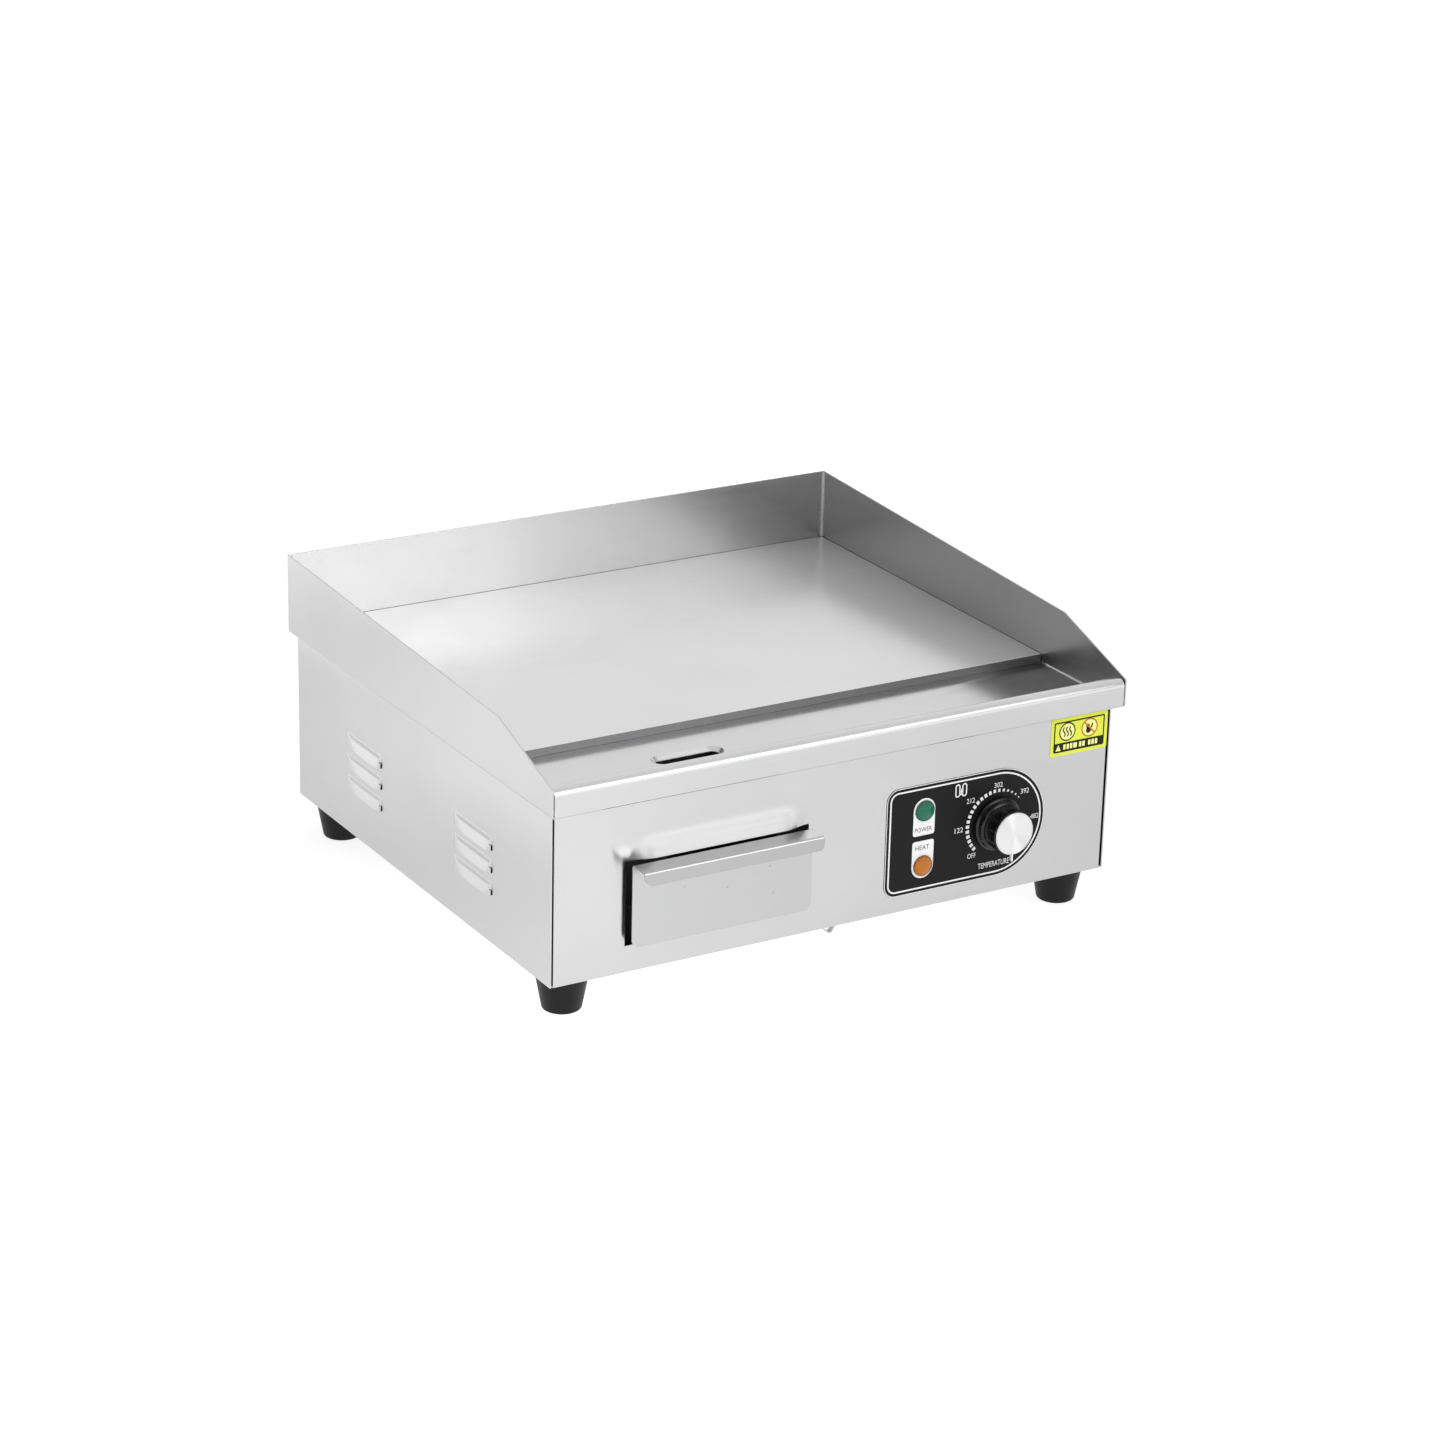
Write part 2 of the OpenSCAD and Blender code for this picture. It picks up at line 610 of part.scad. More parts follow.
// Round tube swept along route with the given radius
module tube_along(route, r, sides = 8) {
  n = len(route);
  rings = [for (i = [0:n - 1]) let (
    d = route[min(i + 1, n - 1)] - route[max(i - 1, 0)],
    t = d / norm(d),
    up = abs(t[2]) > 0.9 ? [0, 1, 0] : [0, 0, 1],
    u = cross(up, t) / norm(cross(up, t)),
    v = cross(t, u)
  ) for (k = [0:sides - 1]) route[i] + r * (cos(360 * k / sides) * u + sin(360 * k / sides) * v)];
  caps = [[for (k = [0:sides - 1]) k], [for (k = [0:sides - 1]) n * sides - 1 - k]];
  walls = [for (i = [0:n - 2], k = [0:sides - 1]) let (a = i * sides, b = (k + 1) % sides)
    [a + k, a + sides + k, a + sides + b, a + b]];
  polyhedron(points = rings, faces = concat(caps, walls));
}

// Smooth route through control points by repeated corner cutting, ends kept
function cut_corners(p) = concat([p[0]], [for (i = [0:len(p) - 2]) each
  [p[i] * 0.75 + p[i + 1] * 0.25, p[i] * 0.25 + p[i + 1] * 0.75]], [p[len(p) - 1]]);
function smooth(p) = cut_corners(cut_corners(p));

module sensor_capillary() color("peru") body_frame()
  tube_along(smooth([[115, 215, plate_z - 3], [115, 190, plate_z - 3], [115, 150, floor_z - 1.5],
    [115, 122, floor_z - 1.5], [115, 100, floor_z - 1.7], [118, 84, 130], [130, 76, 105],
    [146, 70, 82], [150, 60, 74], [150, stat_y[1] + 0.3, 72]]), 1);

module knob() color("#1b1b1c") body_frame() difference() {
  translate([knob_x, 0, knob_z]) rotate([90, 0, 0]) rotate_extrude() difference() {
    polygon([[0, -skirt_back], [skirt_r, -skirt_back], [skirt_r, 4.6], [skirt_r - 0.8, 5.4], [21.6, 5.8],
      [21, 9.4], [20.4, 10.2], [knob_r + 0.3, 10.8], [knob_r, 12], [knob_r, -knob_front - cap_t - 0.6],
      [knob_r - 0.6, -knob_front - cap_t], [0, -knob_front - cap_t]]);
    translate([8, -skirt_back - 1]) square([8.5, 16]);
    translate([-1, -skirt_back - 1]) square([shaft_r + fit_gap + 1, 17]);
  }
  block([knob_x - 0.8, knob_front + 0.6 + cap_t, knob_z - knob_r - 1],
    [knob_x + 0.8, knob_front + 3.4 + cap_t, knob_z - knob_r + 3]);
}

module knob_cap() color("gainsboro") body_frame() translate([knob_x, knob_front + cap_t, knob_z])
  rotate([90, 0, 0]) difference() {
    cylinder(r = knob_r - 0.8, h = cap_t);
    translate([0, 0, cap_t - 0.3]) rotate_extrude() translate([knob_r - 2, 0]) square([0.6, 1]);
  }

// White pointer blade let into the grip, at six o'clock at rest
module knob_pointer() color("white") body_frame()
  block([knob_x - 0.7, knob_front + 0.7 + cap_t, knob_z - knob_r - 6],
    [knob_x + 0.7, knob_front + 3.3 + cap_t, knob_z - knob_r + 2.9]);

// Control label outline in (X, Z): small corners on the left, a full round on the right
module label_outline(inset) {
  r = label_corner - inset;
  lo = [label_left + inset, knob_z - label_r + inset];
  top = knob_z + label_r - inset;
  translate([lo[0] + r, lo[1]]) square([knob_x - lo[0] - r, top - lo[1]]);
  translate([lo[0], lo[1] + r]) square([r + 1, top - lo[1] - 2 * r]);
  for (z = [lo[1] + r, top - r]) translate([lo[0] + r, z]) circle(r = r);
  translate([knob_x, knob_z]) circle(r = label_r - inset, $fn = 128);
}

module control_label() color("#202022") body_frame() difference() {
  along_y(-label_t, label_t) label_outline(0);
  control_holes();
}

module caution_label() color("gold") body_frame()
  along_y(-0.3, 0.3) round_rect([204, 110], [261, 143], 2);

// Lens with a shallow dome, on the label
module lamp_lens(z) translate([lamp_x, -label_t, z]) rotate([90, 0, 0]) {
  cylinder(r = lens_r, h = 1.4);
  intersection() {
    translate([0, 0, -15.2]) sphere(r = 18.2);
    cylinder(r = lens_r - 0.9, h = 4);
  }
}

// Barrel through the panel with its retaining collar and two blades behind
module lamp_body(z) {
  rod_y(lamp_x, -label_t, z, lamp_barrel_r, lamp_depth + label_t);
  rod_y(lamp_x, sheet, z, 8.5, 4);
  for (x = [lamp_x - 2.5, lamp_x + 2.5])
    block([x - 0.4, lamp_depth - 1, z - 1.5], [x + 0.4, lamp_depth + lamp_blade, z + 1.5]);
}

module green_lamp_lens() color("#0c8a5c") body_frame() lamp_lens(lamp_spots[0]);
module amber_lamp_lens() color("#e07d10") body_frame() lamp_lens(lamp_spots[1]);
module green_lamp_body() color("ivory") body_frame() lamp_body(lamp_spots[0]);
module amber_lamp_body() color("ivory") body_frame() lamp_body(lamp_spots[1]);

// Open spout under the slot, which leads the grease into the drawer
module grease_chute() color("silver") body_frame() difference() {
  block([slot_x - 38, slot_y - 19, 98], [slot_x + 38, slot_y + 19, floor_z]);
  block([slot_x - 37, slot_y - 18, 97], [slot_x + 37, slot_y + 18, floor_z + 1]);
}

// Flange of the handle: a wide curve at its left end, a small one at its right
module flange_outline(x0, x1) intersection() {
  z0 = flap_top - handle_drop;
  translate([x0, z0]) square([x1 - x0, handle_drop]);
  hull() {
    translate([x0 + handle_corner, z0 + handle_corner]) circle(r = handle_corner);
    translate([x1 - flange_r, z0 + flange_r]) circle(r = flange_r);
    translate([x0, z0 + handle_corner]) square([x1 - x0, handle_drop]);
  }
}

// Drawer front, with the handle folded forward from its top edge
module drawer_front() color("gainsboro") body_frame() {
  x0 = drawer_x - drawer_w / 2;
  x1 = drawer_x + drawer_w / 2;
  y_handle = -drawer_proud - handle_reach;
  difference() {
    along_y(-drawer_proud, sheet) union() {
      round_rect([x0, flap_z], [x1, flap_top - 10], flap_r);
      translate([x0, flap_top - 30]) square([drawer_w, 30 - 2]);
    }
    for (p = weld_spots) translate([p[0], -drawer_proud - 3.2, p[1]]) sphere(r = 3.6);
  }
  along_x(x0, drawer_w) handle_section(y_handle);
  difference() {
    along_y(y_handle, sheet) flange_outline(x0, x1);
    block([x0 - 1, y_handle - 1, flap_top - 2], [x1 + 1, y_handle + 3, flap_top + 1]);
  }
}

// Ledge of the handle in (Y, Z), rounded where it leaves the drawer front and where it turns down
module handle_section(y_handle) difference() {
  translate([y_handle, flap_top - 2]) {
    translate([2, 0]) square([handle_reach + sheet - 4, 2]);
    square([handle_reach + sheet, eps]);
    for (y = [2, handle_reach + sheet - 2]) translate([y, 0]) intersection() {
      circle(r = 2);
      translate([-2, 0]) square([4, 2]);
    }
  }
  translate([y_handle + sheet, flap_top - 2 - eps]) {
    translate([0.8, 0]) square([handle_reach - sheet - 1.6, 2 - sheet + eps]);
    for (y = [0.8, handle_reach - sheet - 0.8]) translate([y, 0]) circle(r = 0.8);
  }
}

module drawer_tray() color("gainsboro") body_frame() difference() {
  block([drawer_x - bin_w / 2, bin_front, bin_z[0]],
    [drawer_x + bin_w / 2, bin_front + drawer_depth, bin_z[1]]);
  block([drawer_x - bin_w / 2 + bin_t, bin_front + bin_t, bin_z[0] + bin_t],
    [drawer_x + bin_w / 2 - bin_t, bin_front + drawer_depth - bin_t, bin_z[1] + 1]);
}

// Left rail: foot on the base plate, web, ledge under the drawer and stop at the rear
module drawer_rail() {
  x_web = drawer_x - bin_w / 2 - rail_gap - sheet;
  ledge = bin_z[0] - rail_gap;
  block([x_web - 12, 3, sheet], [x_web + sheet, rail_end + 12, 2 * sheet]);
  block([x_web, 3, sheet], [x_web + sheet, rail_end + 12, ledge + 22]);
  block([x_web, 3, ledge - sheet], [x_web + 12, rail_end + 12, ledge]);
  block([x_web, rail_end, ledge - sheet], [x_web + 12, rail_end + sheet, ledge + 22]);
}

module left_drawer_rail() color("silver") body_frame() drawer_rail();
module right_drawer_rail() color("silver") body_frame()
  translate([drawer_x, 0, 0]) mirror([1, 0, 0]) translate([-drawer_x, 0, 0]) drawer_rail();

// Mains terminal block on the base plate, five ways
module terminal_block() color("ivory") body_frame() difference() {
  block([way_x[0] - 8, block_y[0], sheet], [way_x[4] + 8, block_y[1], block_z]);
  for (x = way_x) {
    translate([x, (block_y[0] + block_y[1]) / 2, 14]) cylinder(r = 3.6, h = 20);
    rod_y(x, block_y[0] - 1, way_z, 3, 6);
    rod_y(x, block_y[1] - 5, way_z, 3, 6);
  }
}

module terminal_screws() color("gainsboro") body_frame()
  for (x = way_x) translate([x, (block_y[0] + block_y[1]) / 2, 14]) difference() {
    cylinder(r = 3.4, h = 8);
    translate([-4, -0.4, 7]) cube([8, 0.8, 2]);
  }

module wire(route) tube_along(smooth(route), wire_r);

// Supply wires: from the gland to the terminal block, and from there to the thermostat
module live_wire() color("saddlebrown") body_frame() {
  wire([[way_x[1], way_front, way_z], [way_x[1], 380, 12], [158, 330, 40], [150, 200, 60], [143, 90, 58],
    [knob_x - 11, 66, 50], [knob_x - 11, stat_y[1] + 9.3, 49.7]]);
  wire([[gland_x, 459, gland_z], [gland_x, 444, gland_z], [196, 430, 16], [way_x[4], 424, way_z],
    [way_x[4], way_rear, way_z]]);
}

module neutral_wire() color("royalblue") body_frame() {
  wire([[way_x[2], way_front, way_z], [way_x[2], 380, 12], [172, 330, 36], [168, 200, 54], [166, 90, 52],
    [knob_x + 11, 66, 50], [knob_x + 11, stat_y[1] + 9.3, 49.7]]);
  wire([[gland_x - 4, 459, gland_z], [gland_x - 4, 446, gland_z], [188, 432, 20], [way_x[3], 424, way_z],
    [way_x[3], way_rear, way_z]]);
}

// Wires from the terminal block to the outer and inner ends of the two heater tubes
module heater_wires() color("whitesmoke") body_frame() {
  outer = element_legs[3];
  inner = element_legs[0];
  wire([[outer, element_end_y, blade_z], [outer, element_end_y, 68], [212, 400, 50], [204, 386, 20],
    [way_x[4], 388, way_z], [way_x[4], way_front, way_z]]);
  wire([[inner + wire_r + fit_gap, element_end_y, blade_z], [inner + 2, element_end_y, 68], [40, 400, 52],
    [110, 384, 30], [way_x[0], 384, 12], [way_x[0], way_front, way_z]]);
  wire([[-inner, element_end_y, blade_z], [-inner, element_end_y, 64], [-10, element_end_y, 56],
    [10, element_end_y, 56], [inner - 2, element_end_y, 64],
    [inner - wire_r - fit_gap, element_end_y, blade_z]]);
  wire([[-outer, element_end_y, blade_z], [-outer, element_end_y, 64], [-190, 424, 46], [0, 432, 36],
    [150, 432, 24], [way_x[2], 424, way_z], [way_x[2], way_rear, way_z]]);
}

// Wires between the blades of the two lamps
module lamp_wires() color("gray") body_frame() for (s = [-1, 1]) {
  blade_end = lamp_depth + lamp_blade + 0.3;
  tube_along(smooth([[lamp_x + 2.5 * s, blade_end, lamp_spots[0]],
    [lamp_x + 6 * s, 52, lamp_spots[0] - 2], [lamp_x + 7 * s, 56, knob_z],
    [lamp_x + 6 * s, 52, lamp_spots[1] + 2], [lamp_x + 2.5 * s, blade_end, lamp_spots[1]]]), 1);
}

module earth_wire() color("yellowgreen") body_frame()
  wire([[earth_x, 446, gland_z - 9], [earth_x, 438, gland_z - 14], [way_x[1], 428, 14],
    [way_x[1], 422, way_z], [way_x[1], way_rear, way_z]]);

// Cable gland: hexagon body through the rear panel, dome cap outside and locknut inside
module gland_body() color("#26282b") body_frame() translate([gland_x, body_d, gland_z]) difference() {
  union() {
    rotate([-90, 0, 0]) cylinder(r = 13.8, h = 6, $fn = 6);
    translate([0, -10, 0]) rotate([-90, 0, 0]) cylinder(r = gland_r, h = 11);
    rotate([-90, 0, 0]) cylinder(r = 9, h = 10);
  }
  translate([0, -12, 0]) rotate([-90, 0, 0]) cylinder(r = 6, h = 30);
}

module gland_cap() color("#26282b") body_frame() translate([gland_x, body_d, gland_z])
  rotate([-90, 0, 0]) rotate_extrude() polygon([[9, 6.2], [11.6, 6.2], [11.6, 11.5], [10.8, 14], [8.6, 15.8],
    [6.4, gland_reach], [cord_r, gland_reach], [cord_r, 10.4], [9, 10.4]]);

module gland_locknut() color("#26282b") body_frame() translate([gland_x, body_d - sheet - 5, gland_z])
  rotate([-90, 0, 0]) hex_nut(13.8, 5, gland_r);

module earth_stud() color("goldenrod") body_frame() rod_y(earth_x, body_d - 16, gland_z, stud_r, 30);

module earth_nuts() color("gainsboro") body_frame() for (y = [body_d, body_d + 6, body_d - sheet - 5])
  translate([earth_x, y, gland_z]) rotate([-90, 0, 0]) hex_nut(nut_r, 5, stud_r);

// Rubber foot: tapered, with a rounded lower edge and a shallow recess for the screw head
module foot(i) color("#1c1c1d") body_frame() translate([foot_spots[i][0], foot_spots[i][1], -foot_h])
  rotate_extrude() difference() {
    union() {
      polygon([[0, 0], [foot_low_r - 3, 0], [foot_low_r, 3], [foot_r, foot_h], [0, foot_h]]);
      translate([foot_low_r - 3, 3]) circle(r = 3);
    }
    translate([-1, -1]) square([foot_recess_r + 1, foot_recess_h + 1]);
    translate([-1, -1]) square([foot_screw_r + fit_gap + 1, foot_h + 2]);
  }

module front_left_foot() foot(0);
module front_right_foot() foot(1);
module rear_left_foot() foot(2);
module rear_right_foot() foot(3);

module foot_screws() color("gainsboro") body_frame()
  for (p = foot_spots) translate([p[0], p[1], foot_recess_h - foot_h])
    pan_screw(foot_screw_r, foot_h - foot_recess_h + sheet + 6, 5, 3);

module foot_nuts() color("gainsboro") body_frame()
  for (p = foot_spots) translate([p[0], p[1], sheet]) hex_nut(4.6, 4, foot_screw_r);

// Sheet eye hanging under the front edge of the base
module base_clip() color("silver") body_frame() translate([-5, 4, 0]) rotate([90, 0, 0])
  translate([0, 0, -2.5]) linear_extrude(5) difference() {
    polygon([[-9, 0], [-2.4, -5.6], [-0.4, -6.4], [2, -5.8], [5, 0]]);
    polygon([[-6.4, 0.1], [-1.8, -4.4], [-0.4, -5], [1.2, -4.6], [3.5, 0.1]]);
  }

tray();
guard_welds();
griddle_plate();
plate_studs();
left_side_panel();
right_side_panel();
front_panel();
rear_panel();
base_plate();
panel_screws();
tray_screws();
left_heating_element();
right_heating_element();
element_terminals();
element_clamp_bars();
clamp_nuts();
insulation_pad();
heat_shield();
shield_nuts();
thermostat();
thermostat_screws();
thermostat_shaft();
sensor_bulb();
sensor_capillary();
knob();
knob_cap();
knob_pointer();
control_label();
caution_label();
green_lamp_lens();
amber_lamp_lens();
green_lamp_body();
amber_lamp_body();
grease_chute();
drawer_front();
drawer_tray();
left_drawer_rail();
right_drawer_rail();
terminal_block();
terminal_screws();
live_wire();
neutral_wire();
heater_wires();
lamp_wires();
earth_wire();
gland_body();
gland_cap();
gland_locknut();
earth_stud();
earth_nuts();
front_left_foot();
front_right_foot();
rear_left_foot();
rear_right_foot();
foot_screws();
foot_nuts();
base_clip();
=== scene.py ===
"""Looks of the countertop electric griddle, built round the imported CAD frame.

Lengths marked mm are in the body frame of the part's source: X = 0 at the middle, Y = 0 on the
front panel's face, Z = 0 at the body's bottom edge. at() turns them into the row frame in metres.
"""

import json
import math

import bmesh
import bpy
from mathutils import Matrix, Vector
from mathutils.geometry import tessellate_polygon


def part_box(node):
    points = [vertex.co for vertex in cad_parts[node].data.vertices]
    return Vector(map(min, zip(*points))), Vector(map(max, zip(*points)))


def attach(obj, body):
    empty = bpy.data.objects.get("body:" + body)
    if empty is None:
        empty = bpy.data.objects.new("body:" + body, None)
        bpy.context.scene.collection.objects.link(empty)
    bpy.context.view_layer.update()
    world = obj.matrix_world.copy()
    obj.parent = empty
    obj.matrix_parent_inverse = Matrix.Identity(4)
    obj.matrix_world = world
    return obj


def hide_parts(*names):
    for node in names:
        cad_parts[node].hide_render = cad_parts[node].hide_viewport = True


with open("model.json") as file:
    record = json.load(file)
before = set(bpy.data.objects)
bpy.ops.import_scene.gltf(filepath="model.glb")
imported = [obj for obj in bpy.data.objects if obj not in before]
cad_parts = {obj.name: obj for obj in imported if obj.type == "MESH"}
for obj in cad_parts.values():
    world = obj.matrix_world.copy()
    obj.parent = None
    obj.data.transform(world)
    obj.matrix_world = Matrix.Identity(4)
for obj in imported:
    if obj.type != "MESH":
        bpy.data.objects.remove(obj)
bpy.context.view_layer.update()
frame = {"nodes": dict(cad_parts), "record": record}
NODES = frame["nodes"]
MM = 0.001
ORIGIN = Vector((0.0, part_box("left_side_panel")[0].y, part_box("left_side_panel")[0].z))


def at(x, y, z):
    """A point given in millimetres of the body frame."""
    return ORIGIN + Vector((x, y, z)) * MM


# ---------------------------------------------------------------- camera
AZIMUTH, ELEVATION, ROLL = math.radians(-31.05), math.radians(20.96), math.radians(1.42)
AIM = at(13.6, 210.3, 102.8)
DISTANCE = 3.440
LENS_MM, SENSOR_MM = 101.1, 36.0

scene = bpy.context.scene
back = Vector((math.sin(AZIMUTH) * math.cos(ELEVATION), -math.cos(AZIMUTH) * math.cos(ELEVATION),
               math.sin(ELEVATION)))
flat_right = Vector((math.cos(AZIMUTH), math.sin(AZIMUTH), 0.0))
flat_up = back.cross(flat_right)
right = flat_right * math.cos(ROLL) + flat_up * math.sin(ROLL)
up = flat_up * math.cos(ROLL) - flat_right * math.sin(ROLL)
camera_data = bpy.data.cameras.new("camera")
camera_data.lens = LENS_MM
camera_data.sensor_width = SENSOR_MM
camera_data.sensor_fit = "HORIZONTAL"
camera_data.clip_start, camera_data.clip_end = 0.05, 100.0
camera = bpy.data.objects.new("camera", camera_data)
scene.collection.objects.link(camera)
camera.matrix_world = Matrix.Translation(AIM + back * DISTANCE) @ Matrix(
    (right, up, back)).transposed().to_4x4()
scene.camera = camera
scene.view_settings.view_transform = "Standard"
scene.view_settings.look = "None"


# ---------------------------------------------------------------- node helpers
class Graph:
    """A material's node tree, with short calls for the nodes used here."""

    def __init__(self, tree):
        self.tree = tree
        tree.nodes.clear()

    def add(self, kind, **props):
        node = self.tree.nodes.new(kind)
        for key, value in props.items():
            setattr(node, key, value)
        return node

    def link(self, source, target):
        self.tree.links.new(source, target)

    def feed(self, socket, value):
        if isinstance(value, bpy.types.NodeSocket):
            self.link(value, socket)
        else:
            socket.default_value = value

    def math(self, operation, a, b=0.0, c=0.0, clamp=False):
        node = self.add("ShaderNodeMath", operation=operation, use_clamp=clamp)
        for socket, value in zip(node.inputs, (a, b, c)):
            self.feed(socket, value)
        return node.outputs[0]

    def vmath(self, operation, a, b=(0.0, 0.0, 0.0)):
        node = self.add("ShaderNodeVectorMath", operation=operation)
        self.feed(node.inputs[0], a)
        self.feed(node.inputs[1], b)
        return node.outputs["Value" if operation in ("DOT_PRODUCT", "LENGTH") else "Vector"]

    def place(self):
        return self.add("ShaderNodeTexCoord").outputs["Object"]

    def noise(self, vector, scale=(1.0, 1.0, 1.0), detail=3.0, rough=0.55, distortion=0.0):
        node = self.add("ShaderNodeTexNoise")
        self.link(self.vmath("MULTIPLY", vector, scale), node.inputs["Vector"])
        node.inputs["Scale"].default_value = 1.0
        node.inputs["Detail"].default_value = detail
        node.inputs["Roughness"].default_value = rough
        node.inputs["Distortion"].default_value = distortion
        return node.outputs[0]

    def span(self, value, low, high, a, b, smooth=False):
        """Maps low..high to a..b and holds it there outside."""
        node = self.add("ShaderNodeMapRange", clamp=True,
                        interpolation_type="SMOOTHSTEP" if smooth else "LINEAR")
        self.feed(node.inputs[0], value)
        for socket, number in zip(node.inputs[1:5], (low, high, a, b)):
            self.feed(socket, number)
        return node.outputs[0]

    def mix(self, factor, a, b, blend="MIX"):
        node = self.add("ShaderNodeMix", data_type="RGBA", blend_type=blend)
        self.feed(node.inputs[0], factor)
        for socket, value in ((node.inputs[6], a), (node.inputs[7], b)):
            self.feed(socket, (*value, 1.0) if isinstance(value, tuple) else value)
        return node.outputs[2]

    def blend(self, factor, a, b):
        return self.math("ADD", self.math("MULTIPLY", a, self.math("SUBTRACT", 1.0, factor)),
                         self.math("MULTIPLY", b, factor))

    def bump(self, height, distance, strength=1.0, normal=None):
        node = self.add("ShaderNodeBump")
        node.inputs["Distance"].default_value = distance
        node.inputs["Strength"].default_value = strength
        self.link(height, node.inputs["Height"])
        if normal is not None:
            self.link(normal, node.inputs["Normal"])
        return node.outputs[0]

    def shader(self, **values):
        node = self.add("ShaderNodeBsdfPrincipled")
        for key, value in values.items():
            socket = node.inputs[key.replace("_", " ")]
            self.feed(socket, (*value, 1.0) if isinstance(value, tuple) and len(value) == 3
                      and socket.type == "RGBA" else value)
        out = self.add("ShaderNodeOutputMaterial")
        self.link(node.outputs[0], out.inputs[0])
        return node


def material(name):
    made = bpy.data.materials.new(name)
    made.use_nodes = True
    return made, Graph(made.node_tree)


FACING = 0.7               # how far along an axis a normal points before its face counts as facing it
END_FACING = 0.85
FLANGE_PAINTED_SHADE = 0.84         # painted shade on the handle's folded flange, against the sheet behind it
# faint dark spots at the spot welds: heat tint and painted shade of their dimples
MARK_IN, MARK_OUT, WELD_SPOT_TINT_AND_SHADE = 0.0007, 0.0019, 0.13


def brushed(name, tone, rough, aniso=0.86, grain=1.0, edge_tone=None, edge_mm=0.0,
            level_polish=0.0, metallic=1.0, painted_shade_front=None, weld_tint_and_shade_spots=()):
    """Sheet metal with a grain along Y on faces that look along X, and along X elsewhere.

    edge_tone colours the faces that look along Y, edge_mm rounds the shading at edges, level_polish
    makes level faces smoother, what lies ahead of forward gets painted shade, and marks are faint
    dark spots of heat tint and painted dimple shade.
    """
    made, g = material(name)
    place = g.place()
    axis = g.add("ShaderNodeSeparateXYZ")
    g.link(g.add("ShaderNodeNewGeometry").outputs["Normal"], axis.inputs[0])
    sideways = g.math("GREATER_THAN", g.math("ABSOLUTE", axis.outputs[0]), FACING)
    level = g.math("GREATER_THAN", g.math("ABSOLUTE", axis.outputs[2]), FACING)

    def along_grain(lengthwise, across, detail, rough_noise=0.6):
        along_x = g.noise(place, (lengthwise, across, across), detail, rough_noise)
        along_y = g.noise(place, (across, lengthwise, across), detail, rough_noise)
        return g.blend(sideways, along_x, along_y)

    fine = along_grain(30.0, 4200.0, 2.0)
    streak = along_grain(4.0, 500.0, 3.0)
    cloud = g.noise(place, (7.0, 7.0, 7.0), 3.0, 0.5, 0.6)
    smear = g.noise(place, (24.0, 24.0, 24.0), 4.0, 0.65, 1.2)
    shade = g.math("ADD", g.span(streak, 0.3, 0.7, 0.992, 1.008), g.span(cloud, 0.3, 0.7, -0.02, 0.02))
    shade = g.math("ADD", shade, g.span(fine, 0.3, 0.7, -0.02 * grain, 0.02 * grain))
    # heat tint and painted dimple shade: faint dark spots round the given points
    for mark in weld_tint_and_shade_spots:
        reach = g.vmath("LENGTH", g.vmath("SUBTRACT", place, tuple(mark)))
        shade = g.math("SUBTRACT", shade, g.span(reach, MARK_IN, MARK_OUT, WELD_SPOT_TINT_AND_SHADE, 0.0, True))
    colour = g.mix(1.0, tone, shade, "MULTIPLY")
    if edge_tone is not None:
        ends = g.math("GREATER_THAN", g.math("ABSOLUTE", axis.outputs[1]), END_FACING)
        colour = g.mix(ends, colour, edge_tone)
    # painted shade: what lies ahead of the given Y (the handle's flange) is darker
    if painted_shade_front is not None:
        painted_shade_mask = g.math("LESS_THAN", g.vmath("DOT_PRODUCT", place, (0.0, 1.0, 0.0)), painted_shade_front)
        colour = g.mix(painted_shade_mask, colour, tuple(channel * FLANGE_PAINTED_SHADE for channel in tone))
    roughness = g.math("ADD", g.span(streak, 0.3, 0.7, rough - 0.012, rough + 0.012),
                       g.span(smear, 0.35, 0.75, -0.01, 0.02))
    roughness = g.math("SUBTRACT", roughness, g.math("MULTIPLY", level, level_polish))
    tangent = g.add("ShaderNodeCombineXYZ")
    g.link(level, tangent.inputs[1])
    g.link(g.math("SUBTRACT", 1.0, level), tangent.inputs[2])
    rounded_edge = None
    if edge_mm:
        bevel = g.add("ShaderNodeBevel", samples=4)
        bevel.inputs["Radius"].default_value = edge_mm * MM
        rounded_edge = bevel.outputs[0]
    normal = g.bump(fine, 0.000006 * grain, 0.5, g.bump(cloud, 0.0008, 0.3, rounded_edge))
    node = g.shader(Base_Color=colour, Metallic=metallic, Roughness=roughness, Anisotropic=aniso,
                    Normal=normal)
    g.link(tangent.outputs[0], node.inputs["Tangent"])
    return made


def simple(name, tone, rough, metallic=0.0, noise_scale=300.0, spread=0.06, bump_mm=0.02,
           tone_spread=0.12, **extra):
    """Moulded, cast or plated finish: mottled tone, uneven roughness and a fine surface texture."""
    made, g = material(name)
    place = g.place()
    fine = g.noise(place, (noise_scale,) * 3, 4.0, 0.6)
    broad = g.noise(place, (noise_scale / 14,) * 3, 3.0, 0.5, 0.5)
    shade = g.math("ADD", g.span(fine, 0.3, 0.7, 1 - tone_spread / 2, 1 + tone_spread / 2),
                   g.span(broad, 0.3, 0.7, -tone_spread / 2, tone_spread / 2))
    roughness = g.math("ADD", g.span(broad, 0.3, 0.7, rough - spread, rough + spread),
                       g.span(fine, 0.3, 0.7, -spread / 2, spread / 2))
    g.shader(Base_Color=g.mix(1.0, tone, shade, "MULTIPLY"), Metallic=metallic, Roughness=roughness,
             Normal=g.bump(fine, bump_mm * MM, 0.6), **extra)
    return made


def radial(g, centre):
    """Offset from an axis along Y through centre, its length, and its outward unit vector."""
    offset = g.vmath("MULTIPLY", g.vmath("SUBTRACT", g.place(), tuple(centre)), (1.0, 0.0, 1.0))
    return offset, g.vmath("LENGTH", offset), g.vmath("NORMALIZE", offset)


